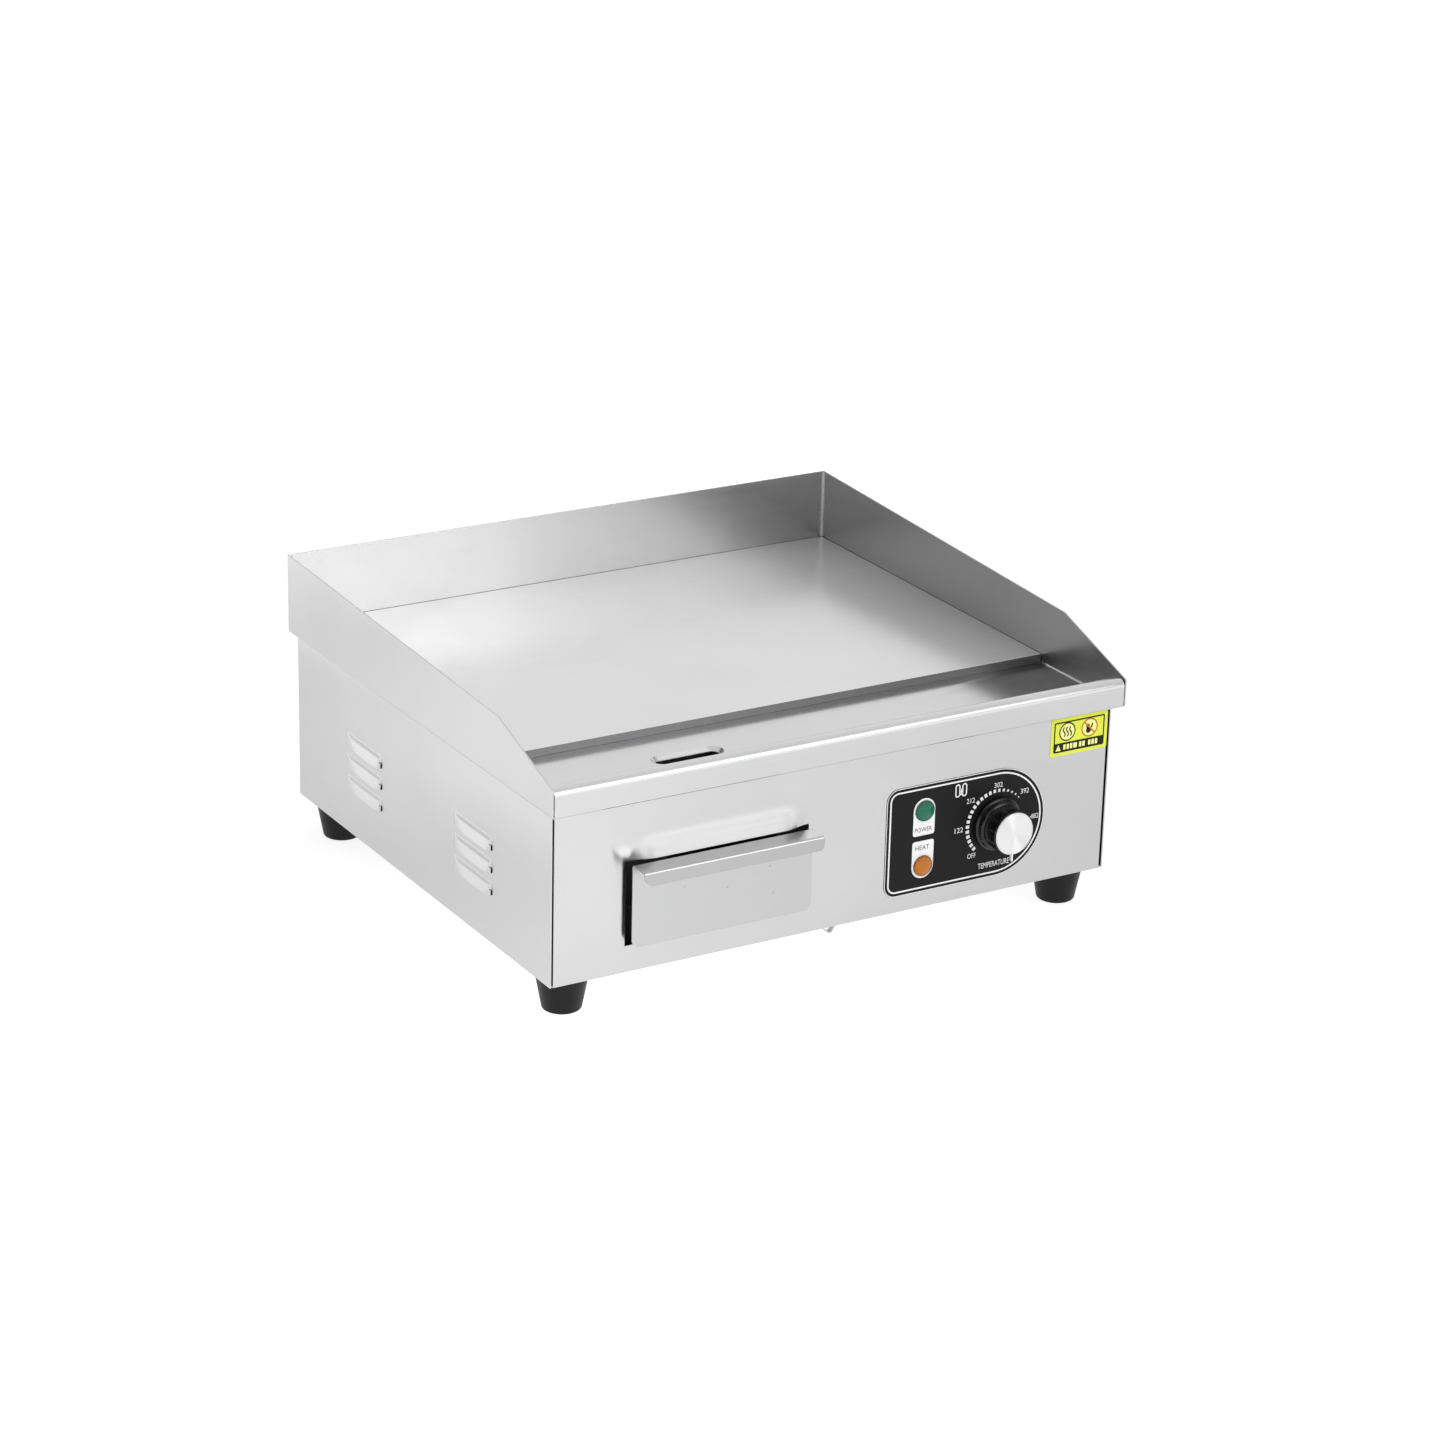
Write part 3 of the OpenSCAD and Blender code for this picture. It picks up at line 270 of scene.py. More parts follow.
def spun(name, node, tone, rough):
    """Turned metal disc: rings round its own axis, which draw the light out into a bow."""
    made, g = material(name)
    low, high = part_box(node)
    _, radius, outward = radial(g, (low + high) / 2)
    rings = g.add("ShaderNodeTexNoise", noise_dimensions="1D")
    g.link(g.math("MULTIPLY", radius, 5200.0), rings.inputs["W"])
    rings.inputs["Scale"].default_value = 1.0
    rings.inputs["Detail"].default_value = 3.0
    ring = rings.outputs[0]
    shade = g.span(ring, 0.3, 0.7, 0.94, 1.05)
    to_world = g.add("ShaderNodeVectorTransform", vector_type="VECTOR", convert_from="OBJECT",
                     convert_to="WORLD")
    g.link(outward, to_world.inputs[0])
    shader = g.shader(Base_Color=g.mix(1.0, tone, shade, "MULTIPLY"), Metallic=1.0,
                      Roughness=g.span(ring, 0.3, 0.7, rough - 0.03, rough + 0.03), Anisotropic=0.9,
                      Normal=g.bump(ring, 0.000004, 0.5))
    g.link(to_world.outputs[0], shader.inputs["Tangent"])
    return made


LENS_GRID = 1.5             # mm
LENS_RIM_IN, LENS_RIM_OUT = 0.0068, 0.0086


def faceted_lens(name, node, tone, rim_tone):
    """Dyed lens with a grid of small prisms behind its face and a darker rim."""
    made, g = material(name)
    low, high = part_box(node)
    offset, radius, _ = radial(g, (low + high) / 2)
    parts = g.add("ShaderNodeSeparateXYZ")
    g.link(offset, parts.inputs[0])
    turns = math.pi / (LENS_GRID * MM)
    across = g.math("ABSOLUTE", g.math("SINE", g.math("MULTIPLY", parts.outputs[0], turns)))
    upward = g.math("ABSOLUTE", g.math("SINE", g.math("MULTIPLY", parts.outputs[2], turns)))
    grid = g.math("MULTIPLY", across, upward)
    speckle = g.noise(g.place(), (900.0,) * 3, 2.0)
    edge = g.span(radius, LENS_RIM_IN, LENS_RIM_OUT, 0.0, 1.0, True)
    colour = g.mix(g.span(grid, 0.0, 1.0, 0.55, 0.0), tone, rim_tone)
    colour = g.mix(g.span(speckle, 0.35, 0.7, 0.0, 0.3), colour, rim_tone)
    colour = g.mix(g.math("MULTIPLY", edge, 0.8), colour, rim_tone)
    g.shader(Base_Color=colour, Roughness=g.span(speckle, 0.3, 0.7, 0.12, 0.2), Coat_Weight=0.3,
             Specular_IOR_Level=0.2, Emission_Color=colour, Emission_Strength=0.06,
             Normal=g.bump(grid, 0.00008, 0.5))
    return made


def striped(name, first, second, pitch):
    """Insulation of two colours in bands."""
    made, g = material(name)
    parts = g.add("ShaderNodeSeparateXYZ")
    g.link(g.place(), parts.inputs[0])
    wave = g.math("SINE", g.math("MULTIPLY", g.math("ADD", parts.outputs[1], parts.outputs[2]),
                                 2 * math.pi / pitch))
    fine = g.noise(g.place(), (900.0,) * 3)
    g.shader(Base_Color=g.mix(g.span(wave, -0.1, 0.1, 0.0, 1.0), first, second),
             Roughness=g.span(fine, 0.3, 0.7, 0.35, 0.5), Normal=g.bump(fine, 0.00002, 0.4))
    return made


STEEL_TONE = (0.54, 0.54, 0.543)
steel = brushed("brushed steel", STEEL_TONE, 0.20)
folded_steel = brushed("folded brushed steel", STEEL_TONE, 0.20, edge_mm=0.5, level_polish=0.07)
FLAP_Y, FLANGE_BACK_Y = -9.0, -26.8
# spot welds on the drawer flap, x and z in mm: dark spots of heat tint and painted dimple shade
WELD_TINT_AND_SHADE_POINTS = ((-149.6, 67.7), (-110.0, 59.5), (-67.8, 46.4), (-70.9, 70.2))
# the handle's flange, ahead of FLANGE_BACK_Y, gets painted shade
drawer_steel = brushed("drawer steel", (0.48, 0.48, 0.483), 0.20, painted_shade_front=at(0, FLANGE_BACK_Y, 0).y,
                       weld_tint_and_shade_spots=[at(x, FLAP_Y, z) for x, z in WELD_TINT_AND_SHADE_POINTS])
plate_steel = brushed("ground plate steel", (0.64, 0.64, 0.644), 0.22, 0.3, 1.5, (0.15, 0.15, 0.153),
                      metallic=0.5)
white_ink = simple("white ink", (0.80, 0.80, 0.80), 0.5, 0.0, 1500.0, tone_spread=0.05,
                   Specular_IOR_Level=0.2)
dark_ink = simple("dark ink", (0.025, 0.025, 0.028), 0.5, 0.0, 1500.0, Specular_IOR_Level=0.15)
olive_ink = simple("olive ink", (0.012, 0.016, 0.004), 0.5, 0.0, 1500.0, Specular_IOR_Level=0.15)
orange_ink = simple("orange ink", (0.50, 0.14, 0.008), 0.5, 0.0, 1500.0, Specular_IOR_Level=0.15)
pale_ink = simple("pale yellow ink", (0.82, 0.84, 0.30), 0.5, 0.0, 1500.0, Specular_IOR_Level=0.2)
FINISH = {
    "brushed_steel": steel,
    "plate_steel": plate_steel,
    "weld": simple("ground weld", (0.72, 0.72, 0.72), 0.3, 1.0, 900.0, 0.08, 0.15),
    "galvanised": simple("galvanised sheet", (0.55, 0.56, 0.58), 0.42, 1.0, 90.0, 0.08),
    "zinc": simple("zinc plating", (0.62, 0.62, 0.63), 0.30, 1.0, 500.0),
    "element_tube": simple("oxidised heater tube", (0.12, 0.10, 0.09), 0.5, 1.0, 400.0),
    "wool": simple("mineral wool", (0.55, 0.50, 0.40), 0.95, 0.0, 250.0, 0.03, 0.5),
    "ceramic": simple("ceramic", (0.75, 0.72, 0.64), 0.55, 0.0, 600.0),
    "lamp_white": simple("lamp barrel", (0.70, 0.70, 0.66), 0.4, 0.0, 600.0),
    "copper": simple("copper tube", (0.70, 0.33, 0.20), 0.35, 1.0, 500.0),
    "brass": simple("brass", (0.72, 0.53, 0.24), 0.32, 1.0, 500.0),
    "rubber": simple("rubber", (0.006, 0.006, 0.0065), 0.45, 0.0, 900.0, 0.06, 0.03,
                     Specular_IOR_Level=0.2),
    "knob_black": simple("glossy black plastic", (0.004, 0.004, 0.0045), 0.2, 0.0, 700.0, 0.04, 0.004,
                         Specular_IOR_Level=0.4),
    "nylon_black": simple("black nylon", (0.02, 0.02, 0.022), 0.5, 0.0, 800.0, 0.06, 0.02),
    "pointer_white": simple("white moulding", (0.80, 0.80, 0.80), 0.4, 0.0, 1500.0),
    "label_black": simple("label film", (0.0085, 0.0085, 0.009), 0.45, 0.0, 1800.0, 0.05, 0.003,
                          Specular_IOR_Level=0.12),
    "label_yellow": simple("yellow film", (0.68, 0.74, 0.07), 0.45, 0.0, 700.0, 0.05, 0.003, 0.06,
                           Specular_IOR_Level=0.2),
    "knob_cap": spun("spun cap", "knob_cap", (0.76, 0.76, 0.76), 0.34),
    "lens_green": faceted_lens("green lens", "green_lamp_lens", (0.004, 0.17, 0.09),
                               (0.001, 0.06, 0.03)),
    "lens_amber": faceted_lens("amber lens", "amber_lamp_lens", (0.58, 0.19, 0.008),
                               (0.2, 0.055, 0.002)),
    "wire_brown": simple("brown insulation", (0.13, 0.05, 0.02), 0.42, 0.0, 900.0),
    "wire_blue": simple("blue insulation", (0.02, 0.10, 0.42), 0.42, 0.0, 900.0),
    "wire_white": simple("white glass sleeve", (0.66, 0.64, 0.58), 0.6, 0.0, 1400.0, bump_mm=0.05),
    "wire_grey": simple("grey insulation", (0.22, 0.22, 0.23), 0.42, 0.0, 900.0),
    "wire_earth": striped("earth insulation", (0.62, 0.60, 0.03), (0.03, 0.28, 0.05), 0.012),
}
for entry in frame["record"]["subparts"]:
    for slot in NODES[entry["node"]].material_slots:
        slot.material = FINISH[entry["material_slot"]]
for node, finish in (("tray", folded_steel), ("drawer_front", drawer_steel)):
    for slot in NODES[node].material_slots:
        slot.material = finish


# ---------------------------------------------------------------- softened sheet edges
def soften(piece, width_mm, angle=32.0):
    """Rounds the edges of a flat-sided mesh, and keeps its broad faces flat."""
    weld = piece.modifiers.new("weld", "WELD")
    weld.merge_threshold = 0.000002
    merge = piece.modifiers.new("merge", "DECIMATE")
    merge.decimate_type = "DISSOLVE"
    merge.angle_limit = math.radians(0.4)
    merge.delimit = set()
    bevel = piece.modifiers.new("bevel", "BEVEL")
    bevel.width = width_mm * MM
    bevel.segments = 2
    bevel.limit_method = "ANGLE"
    bevel.angle_limit = math.radians(angle)
    bevel.use_clamp_overlap = False
    bevel.miter_outer = "MITER_SHARP"
    normals = piece.modifiers.new("normals", "WEIGHTED_NORMAL")
    normals.weight = 100


for name, width in (("drawer_front", 0.35), ("griddle_plate", 0.3)):
    soften(NODES[name], width)


# ---------------------------------------------------------------- mesh helpers
def keep(bm, name, body, materials, sharp=35.0):
    """Turns a bmesh in metres into a piece that rides on a body, smooth but for its sharp edges."""
    bmesh.ops.recalc_face_normals(bm, faces=bm.faces)
    for face in bm.faces:
        face.smooth = True
    for edge in bm.edges:
        edge.smooth = len(edge.link_faces) == 2 and edge.calc_face_angle(math.pi) < math.radians(sharp)
    mesh = bpy.data.meshes.new(name)
    bm.to_mesh(mesh)
    bm.free()
    for item in materials:
        mesh.materials.append(item)
    piece = bpy.data.objects.new(name, mesh)
    scene.collection.objects.link(piece)
    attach(piece, body)
    return piece


# ---------------------------------------------------------------- sheet metal panels
SHEET, BEND_R, BEND_STEPS = 1.2, 1.5, 4
SHEET_SHARP, SHEET_EDGE, SHEET_EDGE_ANGLE = 38.0, 0.25, 50.0


def steps(start, end, count):
    return [start + (end - start) * i / count for i in range(count)]


def bend(cx, cz, start, end):
    """Points of a quarter bend of the sheet's outer skin."""
    turns = [math.radians(start + (end - start) * i / BEND_STEPS) for i in range(BEND_STEPS + 1)]
    return [(cx + BEND_R * math.cos(turn), cz + BEND_R * math.sin(turn)) for turn in turns]


def sheet_panel(name, path, cross, place, outward, is_hole=lambda p, c: False, flanges=()):
    """Folded sheet: a path of section points swept over cross values, thickened inwards.

    place(point, cross value, middle of the cell) gives a corner, so that a lifted cell can part
    from its neighbour and leave a slit. outward is the first cell's outer side.
    """
    bm = bmesh.new()

    def cell(corners):
        return bm.faces.new([bm.verts.new(at(*corner)) for corner in corners])

    for a, b in zip(path, path[1:]):
        for c, d in zip(cross, cross[1:]):
            middle = ((a[0] + b[0]) / 2, (a[1] + b[1]) / 2), (c + d) / 2
            if not is_hole(*middle):
                cell([place(p, q, *middle) for p, q in ((a, c), (b, c), (b, d), (a, d))])
    bmesh.ops.remove_doubles(bm, verts=bm.verts, dist=0.00002)
    bmesh.ops.recalc_face_normals(bm, faces=bm.faces)
    bm.faces.ensure_lookup_table()
    if bm.faces[0].normal.dot(Vector(outward)) < 0:
        bmesh.ops.reverse_faces(bm, faces=bm.faces)
    for corners in flanges:
        cell(corners)
    mesh = bpy.data.meshes.new("skin")
    bm.to_mesh(mesh)
    bm.free()
    skin = bpy.data.objects.new("skin", mesh)
    scene.collection.objects.link(skin)
    thick = skin.modifiers.new("thickness", "SOLIDIFY")
    thick.thickness = SHEET * MM
    thick.offset = -1.0
    thick.use_even_offset = True
    solid = bpy.data.meshes.new_from_object(skin.evaluated_get(bpy.context.evaluated_depsgraph_get()))
    bpy.data.objects.remove(skin)
    bm = bmesh.new()
    bm.from_mesh(solid)
    panel = keep(bm, name, "housing", [steel], SHEET_SHARP)
    edge = panel.modifiers.new("edges", "BEVEL")
    edge.width = SHEET_EDGE * MM
    edge.segments = 2
    edge.limit_method = "ANGLE"
    edge.angle_limit = math.radians(SHEET_EDGE_ANGLE)
    return panel


# Side panels: a louvre rises from its closed top edge and ends, and is open along its lower edge
# and at the lower half of its front end.
SIDE_X, SIDE_DEPTH, SIDE_TOP = 264.5, 460.0, 147.5
FLANGE_X, FRONT_FLANGE_Y, REAR_FLANGE_Y = 252.5, 17.0, 457.6
LOUVRE_FRONTS, LOUVRE_ROWS = (99.0, 298.0), (41.5, 60.8, 80.0)
LOUVRE_LEN, LOUVRE_H = 66.0, 12.0
HOLLOW_R, SHOULDER, CROWN_R = 3.0, 2.0, 4.0
STEEP, SHALLOW = math.radians(28.0), math.radians(17.5)
SLIT_FROM, SLIT_RATE, SLIT_MOST = 6.0, 1.4, 2.4
FRONT_RATE, REAR_RATE, MARGIN = 2.4, 0.9, 0.4
LOUVRE_SPACING = ((0, 10), (4, 6), (12, 8), (52, 5), (60, 12), (LOUVRE_LEN, 0))  # start, steps from it


def louvre_profile(depth):
    """Height at a depth below the closed edge: hollow, steep shoulder, crown, then a shallow slope."""
    hollow = HOLLOW_R * math.sin(STEEP)
    crown = CROWN_R * (math.sin(STEEP) - math.sin(SHALLOW))
    if depth <= hollow:
        return HOLLOW_R - math.sqrt(HOLLOW_R ** 2 - depth ** 2)
    height = HOLLOW_R * (1 - math.cos(STEEP))
    depth -= hollow
    if depth <= SHOULDER:
        return height + depth * math.tan(STEEP)
    height += SHOULDER * math.tan(STEEP)
    depth -= SHOULDER
    if depth <= crown:
        across = CROWN_R * math.sin(STEEP) - depth
        return height + math.sqrt(CROWN_R ** 2 - across ** 2) - CROWN_R * math.cos(STEEP)
    height += CROWN_R * (math.cos(SHALLOW) - math.cos(STEEP))
    return height + (depth - crown) * math.tan(SHALLOW)


def nearest(*depths):
    """Depth inside an outline, from the depths inside its sides, with its corners rounded."""
    if min(depths) < 1e-6:
        return 0.0
    return sum(depth ** -3 for depth in depths) ** (-1 / 3)


def side_lift(y, z, cell_y, cell_z):
    """How far a louvre's cell stands out at one of its corners."""
    for y0 in LOUVRE_FRONTS:
        for z0 in LOUVRE_ROWS:
            if y0 < cell_y < y0 + LOUVRE_LEN and z0 < cell_z < z0 + LOUVRE_H:
                below = z0 + LOUVRE_H - z
                slit = min(SLIT_RATE * max(0.0, below - SLIT_FROM), SLIT_MOST)
                return louvre_profile(nearest(below, FRONT_RATE * (y - y0) + slit,
                                              REAR_RATE * (y0 + LOUVRE_LEN - y)))
    return 0.0


for side, name in ((-1, "left_side_panel"), (1, "right_side_panel")):
    ys = [0.0]
    for y0 in LOUVRE_FRONTS:
        ys.append(y0 - MARGIN)
        for (start, count), (end, _) in zip(LOUVRE_SPACING, LOUVRE_SPACING[1:]):
            ys += steps(y0 + start, y0 + end, count)
        ys += [y0 + LOUVRE_LEN, y0 + LOUVRE_LEN + MARGIN]
    zs = [0.0]
    for z0 in LOUVRE_ROWS:
        zs += [z0 - MARGIN, *steps(z0, z0 + 6, 8), *steps(z0 + 6, z0 + LOUVRE_H, 20), z0 + LOUVRE_H,
               z0 + LOUVRE_H + MARGIN]
    x_a, x_b = sorted((side * (SIDE_X - SHEET), side * FLANGE_X))
    piece = sheet_panel(
        name.replace("panel", "sheet"),
        [(SIDE_X, z) for z in zs] + bend(SIDE_X - BEND_R, SIDE_TOP - BEND_R, 0, 90)
        + [(FLANGE_X, SIDE_TOP)],
        ys + [SIDE_DEPTH],
        lambda p, y, mid, mid_y: (side * (p[0] + side_lift(y, p[1], mid_y, mid[1])), y, p[1]),
        (side, 0, 0), flanges=[
            [(x_a, y, SHEET), (x_b, y, SHEET), (x_b, y, SIDE_TOP - SHEET), (x_a, y, SIDE_TOP - SHEET)]
            for y in (FRONT_FLANGE_Y, REAR_FLANGE_Y)])
    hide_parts(name)

# Front panel: a hood swells out of the sheet above the drawer's opening. The windows are the
# opening and, behind the control label, the holes for the lamps, the shaft and its two screws.
FRONT_X, FRONT_TOP, FRONT_FOLD = 261.8, 147.5, 17.0
OPENING_X, OPENING_Z = (-198.0, -30.0), (23.0, 95.3)
HOOD_H, HOOD_R, HOOD_SLOPE, HOOD_END = 24.0, 40.0, math.radians(15.5), 26.0
WINDOWS = ((*OPENING_X, *OPENING_Z), (73.8, 88.8, 78.55, 93.55), (73.8, 88.8, 29.95, 44.95),
           (146.5, 159.5, 55.25, 68.25), (137.0, 141.0, 59.75, 63.75), (165.0, 169.0, 59.75, 63.75))


def hood_lift(x, z, cell_z):
    """How far the hood stands out at (x, z): hollow, then a straight slope, eased off at its ends."""
    if not OPENING_Z[1] < cell_z < OPENING_Z[1] + HOOD_H:
        return 0.0
    depth = OPENING_Z[1] + HOOD_H - z
    end = max(0.0, min(1.0, (x - OPENING_X[0]) / HOOD_END, (OPENING_X[1] - x) / HOOD_END))
    hollow = HOOD_R * math.sin(HOOD_SLOPE)
    if depth <= hollow:
        height = HOOD_R - math.sqrt(HOOD_R ** 2 - depth ** 2)
    else:
        height = HOOD_R * (1 - math.cos(HOOD_SLOPE)) + (depth - hollow) * math.tan(HOOD_SLOPE)
    return height * end * end * (3 - 2 * end)


columns = sorted({-FRONT_X + BEND_R, FRONT_X - BEND_R, *(w[i] for w in WINDOWS for i in (0, 1)),
                  *steps(OPENING_X[0], OPENING_X[0] + HOOD_END, 20),
                  *steps(OPENING_X[0] + HOOD_END, OPENING_X[1] - HOOD_END, 12),
                  *steps(OPENING_X[1] - HOOD_END, OPENING_X[1], 20)})
path = ([(-FRONT_X, FRONT_FOLD)] + bend(-FRONT_X + BEND_R, BEND_R, 180, 270)
        + [(x, 0.0) for x in columns[1:-1]]
        + bend(FRONT_X - BEND_R, BEND_R, 270, 360) + [(FRONT_X, FRONT_FOLD)])
levels = sorted({0.0, FRONT_TOP, OPENING_Z[1] + HOOD_H + MARGIN, OPENING_Z[1] + HOOD_H,
                 *(w[i] for w in WINDOWS for i in (2, 3)),
                 *steps(OPENING_Z[1], OPENING_Z[1] + HOOD_H, 28)})
front_sheet = sheet_panel(
    "front_sheet", path, levels,
    lambda p, z, mid, mid_z: (p[0], p[1] - hood_lift(p[0], z, mid_z), z),
    (-1, 0, 0),
    lambda p, z: any(w[0] < p[0] < w[1] and w[2] < z < w[3] for w in WINDOWS))
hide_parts("front_panel")

# ---------------------------------------------------------------- printed artwork
INK = 0.03


def arc(cx, cz, radius, start, end, count):
    return [(cx + radius * math.cos(math.radians(start + (end - start) * i / count)),
             cz + radius * math.sin(math.radians(start + (end - start) * i / count)))
            for i in range(count + 1)]


def ring(cx, cz, radius, count=48):
    return arc(cx, cz, radius, 0, 360, count)[:-1]


def rounded(x0, z0, x1, z1, radii, count=10):
    """Rectangle with its own radius at each corner: lower left, lower right, upper right, upper left."""
    loop = []
    corners = ((x0, z0, 1, 1, 180), (x1, z0, -1, 1, 270), (x1, z1, -1, -1, 0), (x0, z1, 1, -1, 90))
    for (x, z, in_x, in_z, start), radius in zip(corners, radii):
        loop += arc(x + in_x * radius, z + in_z * radius, radius, start, start + 90, count)
    return loop


def stroke(points, width):
    """Band of a given width along a line of points."""
    left, right = [], []
    for i, (x, z) in enumerate(points):
        before, after = points[max(i - 1, 0)], points[min(i + 1, len(points) - 1)]
        dx, dz = after[0] - before[0], after[1] - before[1]
        size = math.hypot(dx, dz) / (width / 2)
        left.append((x - dz / size, z + dx / size))
        right.append((x + dz / size, z - dx / size))
    return left + right[::-1]


class Print:
    """Ink laid on a face that looks along -Y, as thin solid shapes."""

    def __init__(self, face_y):
        self.bm, self.face_y = bmesh.new(), face_y

    def shape(self, outer, holes=(), ink=0, layer=0):
        loops = [outer, *holes]
        back = self.face_y - layer * INK
        points = [p for loop in loops for p in loop]
        near = [self.bm.verts.new(at(x, back - INK, z)) for x, z in points]
        far = [self.bm.verts.new(at(x, back, z)) for x, z in points]
        for a, b, c in tessellate_polygon([[Vector((x, z, 0)) for x, z in loop] for loop in loops]):
            for side in (near, far):
                self.bm.faces.new((side[a], side[b], side[c])).material_index = ink
        start = 0
        for loop in loops:
            for i in range(len(loop)):
                a, b = start + i, start + (i + 1) % len(loop)
                self.bm.faces.new((near[a], near[b], far[b], far[a])).material_index = ink
            start += len(loop)

    def words(self, text, cx, cz, width, height, ink=0, layer=0):
        curve = bpy.data.curves.new("words", "FONT")
        curve.body = text
        curve.resolution_u = 3
        curve.extrude = 0.5
        holder = bpy.data.objects.new("words", curve)
        scene.collection.objects.link(holder)
        mesh = bpy.data.meshes.new_from_object(
            holder.evaluated_get(bpy.context.evaluated_depsgraph_get()))
        low = [min(v.co[i] for v in mesh.vertices) for i in (0, 1)]
        high = [max(v.co[i] for v in mesh.vertices) for i in (0, 1)]
        for v in mesh.vertices:
            x = cx + width * ((v.co.x - low[0]) / (high[0] - low[0]) - 0.5)
            z = cz + height * ((v.co.y - low[1]) / (high[1] - low[1]) - 0.5)
            v.co = at(x, self.face_y - (layer + 0.5 + v.co.z) * INK, z)
        for polygon in mesh.polygons:
            polygon.material_index = ink
        self.bm.from_mesh(mesh)
        bpy.data.objects.remove(holder)


LABEL_FACE, STICKER_FACE = -0.5, -0.3
KNOB_X, KNOB_Z = 153.0, 61.75
LABEL_LEFT, LABEL_CORNER, LABEL_R = 44.4, 11.0, 47.6
LAMP_X, LAMP_Z, LENS_HOLE = 81.3, (86.05, 37.45), 9.0
PLATE_X, PLATE_CORNER = (70.6, 91.5), 2.2
TICK_R, TICK_DEEP, TICK_WIDE, TICK_STEP = 28.7, 3.3, 2.9, 9.0
TICK_FROM, TICK_TO, TICK_FADE = 222.0, 38.0, 110.0
BULB_X = 116.45


def label_loop(inset):
    low, high = KNOB_Z - LABEL_R, KNOB_Z + LABEL_R
    corner = LABEL_CORNER - inset
    x = LABEL_LEFT + LABEL_CORNER
    return (arc(x, low + LABEL_CORNER, corner, 180, 270, 12)
            + arc(KNOB_X, KNOB_Z, LABEL_R - inset, -90, 90, 64)
            + arc(x, high - LABEL_CORNER, corner, 90, 180, 12))


print_ = Print(LABEL_FACE)
print_.shape(label_loop(0.1), [label_loop(0.7)])
print_.shape(label_loop(3.1), [label_loop(4.5)])
half = (PLATE_X[1] - PLATE_X[0]) / 2
for z, z_low, z_high, radii in (
        (LAMP_Z[0], 64.4, LAMP_Z[0] + half + 0.5, (PLATE_CORNER, PLATE_CORNER, half, half)),
        (LAMP_Z[1], LAMP_Z[1] - half - 0.5, 59.6, (half, half, PLATE_CORNER, PLATE_CORNER))):
    print_.shape(rounded(PLATE_X[0], z_low, PLATE_X[1], z_high, radii), [ring(LAMP_X, z, LENS_HOLE)])
print_.words("POWER", 80.8, 69.6, 16.8, 3.9, 1, 1)
print_.words("HEAT", 80.4, 53.6, 13.4, 4.2, 1, 1)
angle = TICK_FROM
while angle > TICK_TO:
    turn = math.radians(angle)
    out = Vector((math.cos(turn), math.sin(turn)))
    side = Vector((-out.y, out.x))
    middle = Vector((KNOB_X, KNOB_Z)) + out * TICK_R
    size = min(1.0, 0.35 + 0.65 * (angle - TICK_TO) / (TICK_FADE - TICK_TO)) / 2
    print_.shape([tuple(middle + out * (a * TICK_DEEP * size) + side * (b * TICK_WIDE * size))
                  for a, b in ((-1, -1), (1, -0.9), (1, 0.9), (-1, 1))])
    angle -= TICK_STEP
for text, x, z in (("122", 115.9, 62.0), ("212", 126.5, 86.3), ("302", 153.5, 95.4),
                   ("392", 180.2, 85.4), ("482", 191.3, 60.8), ("572", 178.8, 36.0), ("OFF", 129.7, 36.6)):
    print_.words(text, x, z, 8.2, 4.4)
print_.words("TEMPERATURE", 152.2, 25.5, 31.0, 4.9)
for x in (110.7, 117.3):
    print_.shape(rounded(x, 91.6, x + 4.9, 103.2, (2.4,) * 4),
                 [rounded(x + 1.1, 92.7, x + 3.8, 102.1, (1.3,) * 4)])
print_.shape([(BULB_X - 0.9, 95.2), (BULB_X + 0.9, 95.2), (BULB_X, 99.4)])
print_.shape(ring(BULB_X, 94.4, 1.35, 24))
keep(print_.bm, "control_print", "housing", [white_ink, dark_ink])

STICKER = (204.0, 110.0, 261.0, 143.0)
FRAME_IN, FRAME_LINE, BAND_TOP = 3.0, 1.3, 121.4
HEAT_X, TOUCH_X, SIGN_Z, SIGN_R, SIGN_IN_R, SLASH_R = 220.4, 242.8, 130.6, 8.3, 7.1, 7.4
BLOCKS_X = (217.0, 220.4, 223.8, 227.2, 229.6, 233.0, 236.4, 242.2, 245.6, 249.0)
NARROW_BLOCK = 4
sticker = Print(STICKER_FACE)
x0, z0, x1, z1 = STICKER
sticker.shape(rounded(x0 + FRAME_IN, z0 + FRAME_IN, x1 - FRAME_IN, z1 - FRAME_IN, (1.6,) * 4),
              [rounded(x0 + FRAME_IN + FRAME_LINE, BAND_TOP, x1 - FRAME_IN - FRAME_LINE,
                       z1 - FRAME_IN - FRAME_LINE, (0.6,) * 4)])
for x, ink in ((HEAT_X, 0), (TOUCH_X, 1)):
    sticker.shape(ring(x, SIGN_Z, SIGN_R), [ring(x, SIGN_Z, SIGN_IN_R)], ink)
    sticker.shape(ring(x, SIGN_Z, SIGN_IN_R), (), 2)
for offset in (-3.2, 0.0, 3.2):
    wave = [(HEAT_X + offset + 1.1 * math.sin(t * math.pi / 4), 126.4 + t * 1.05) for t in range(9)]
    sticker.shape(stroke(wave, 1.2), (), 0, 1)
sticker.shape(ring(241.9, 128.3, 2.6, 24), (), 0, 1)
sticker.shape(stroke([(241.6, 129.5), (241.2, 131.6), (240.9, 133.6)], 3.4), (), 0, 1)
sticker.shape(stroke([(244.6, 130.2), (245.2, 132.3), (245.6, 133.9)], 1.5), (), 0, 1)
slash = SLASH_R * math.sqrt(0.5)
sticker.shape(stroke([(TOUCH_X - slash, SIGN_Z + slash), (TOUCH_X + slash, SIGN_Z - slash)], 1.3), (), 1, 2)
sticker.shape([(209.2, 114.6), (214.6, 114.6), (211.9, 119.9)], [], 2, 1)
for i, x in enumerate(BLOCKS_X):
    wide = 1.2 if i == NARROW_BLOCK else 2.4
    sticker.shape(rounded(x, 115.0, x + wide, 119.6, (0.5,) * 4, 4), (), 2, 1)
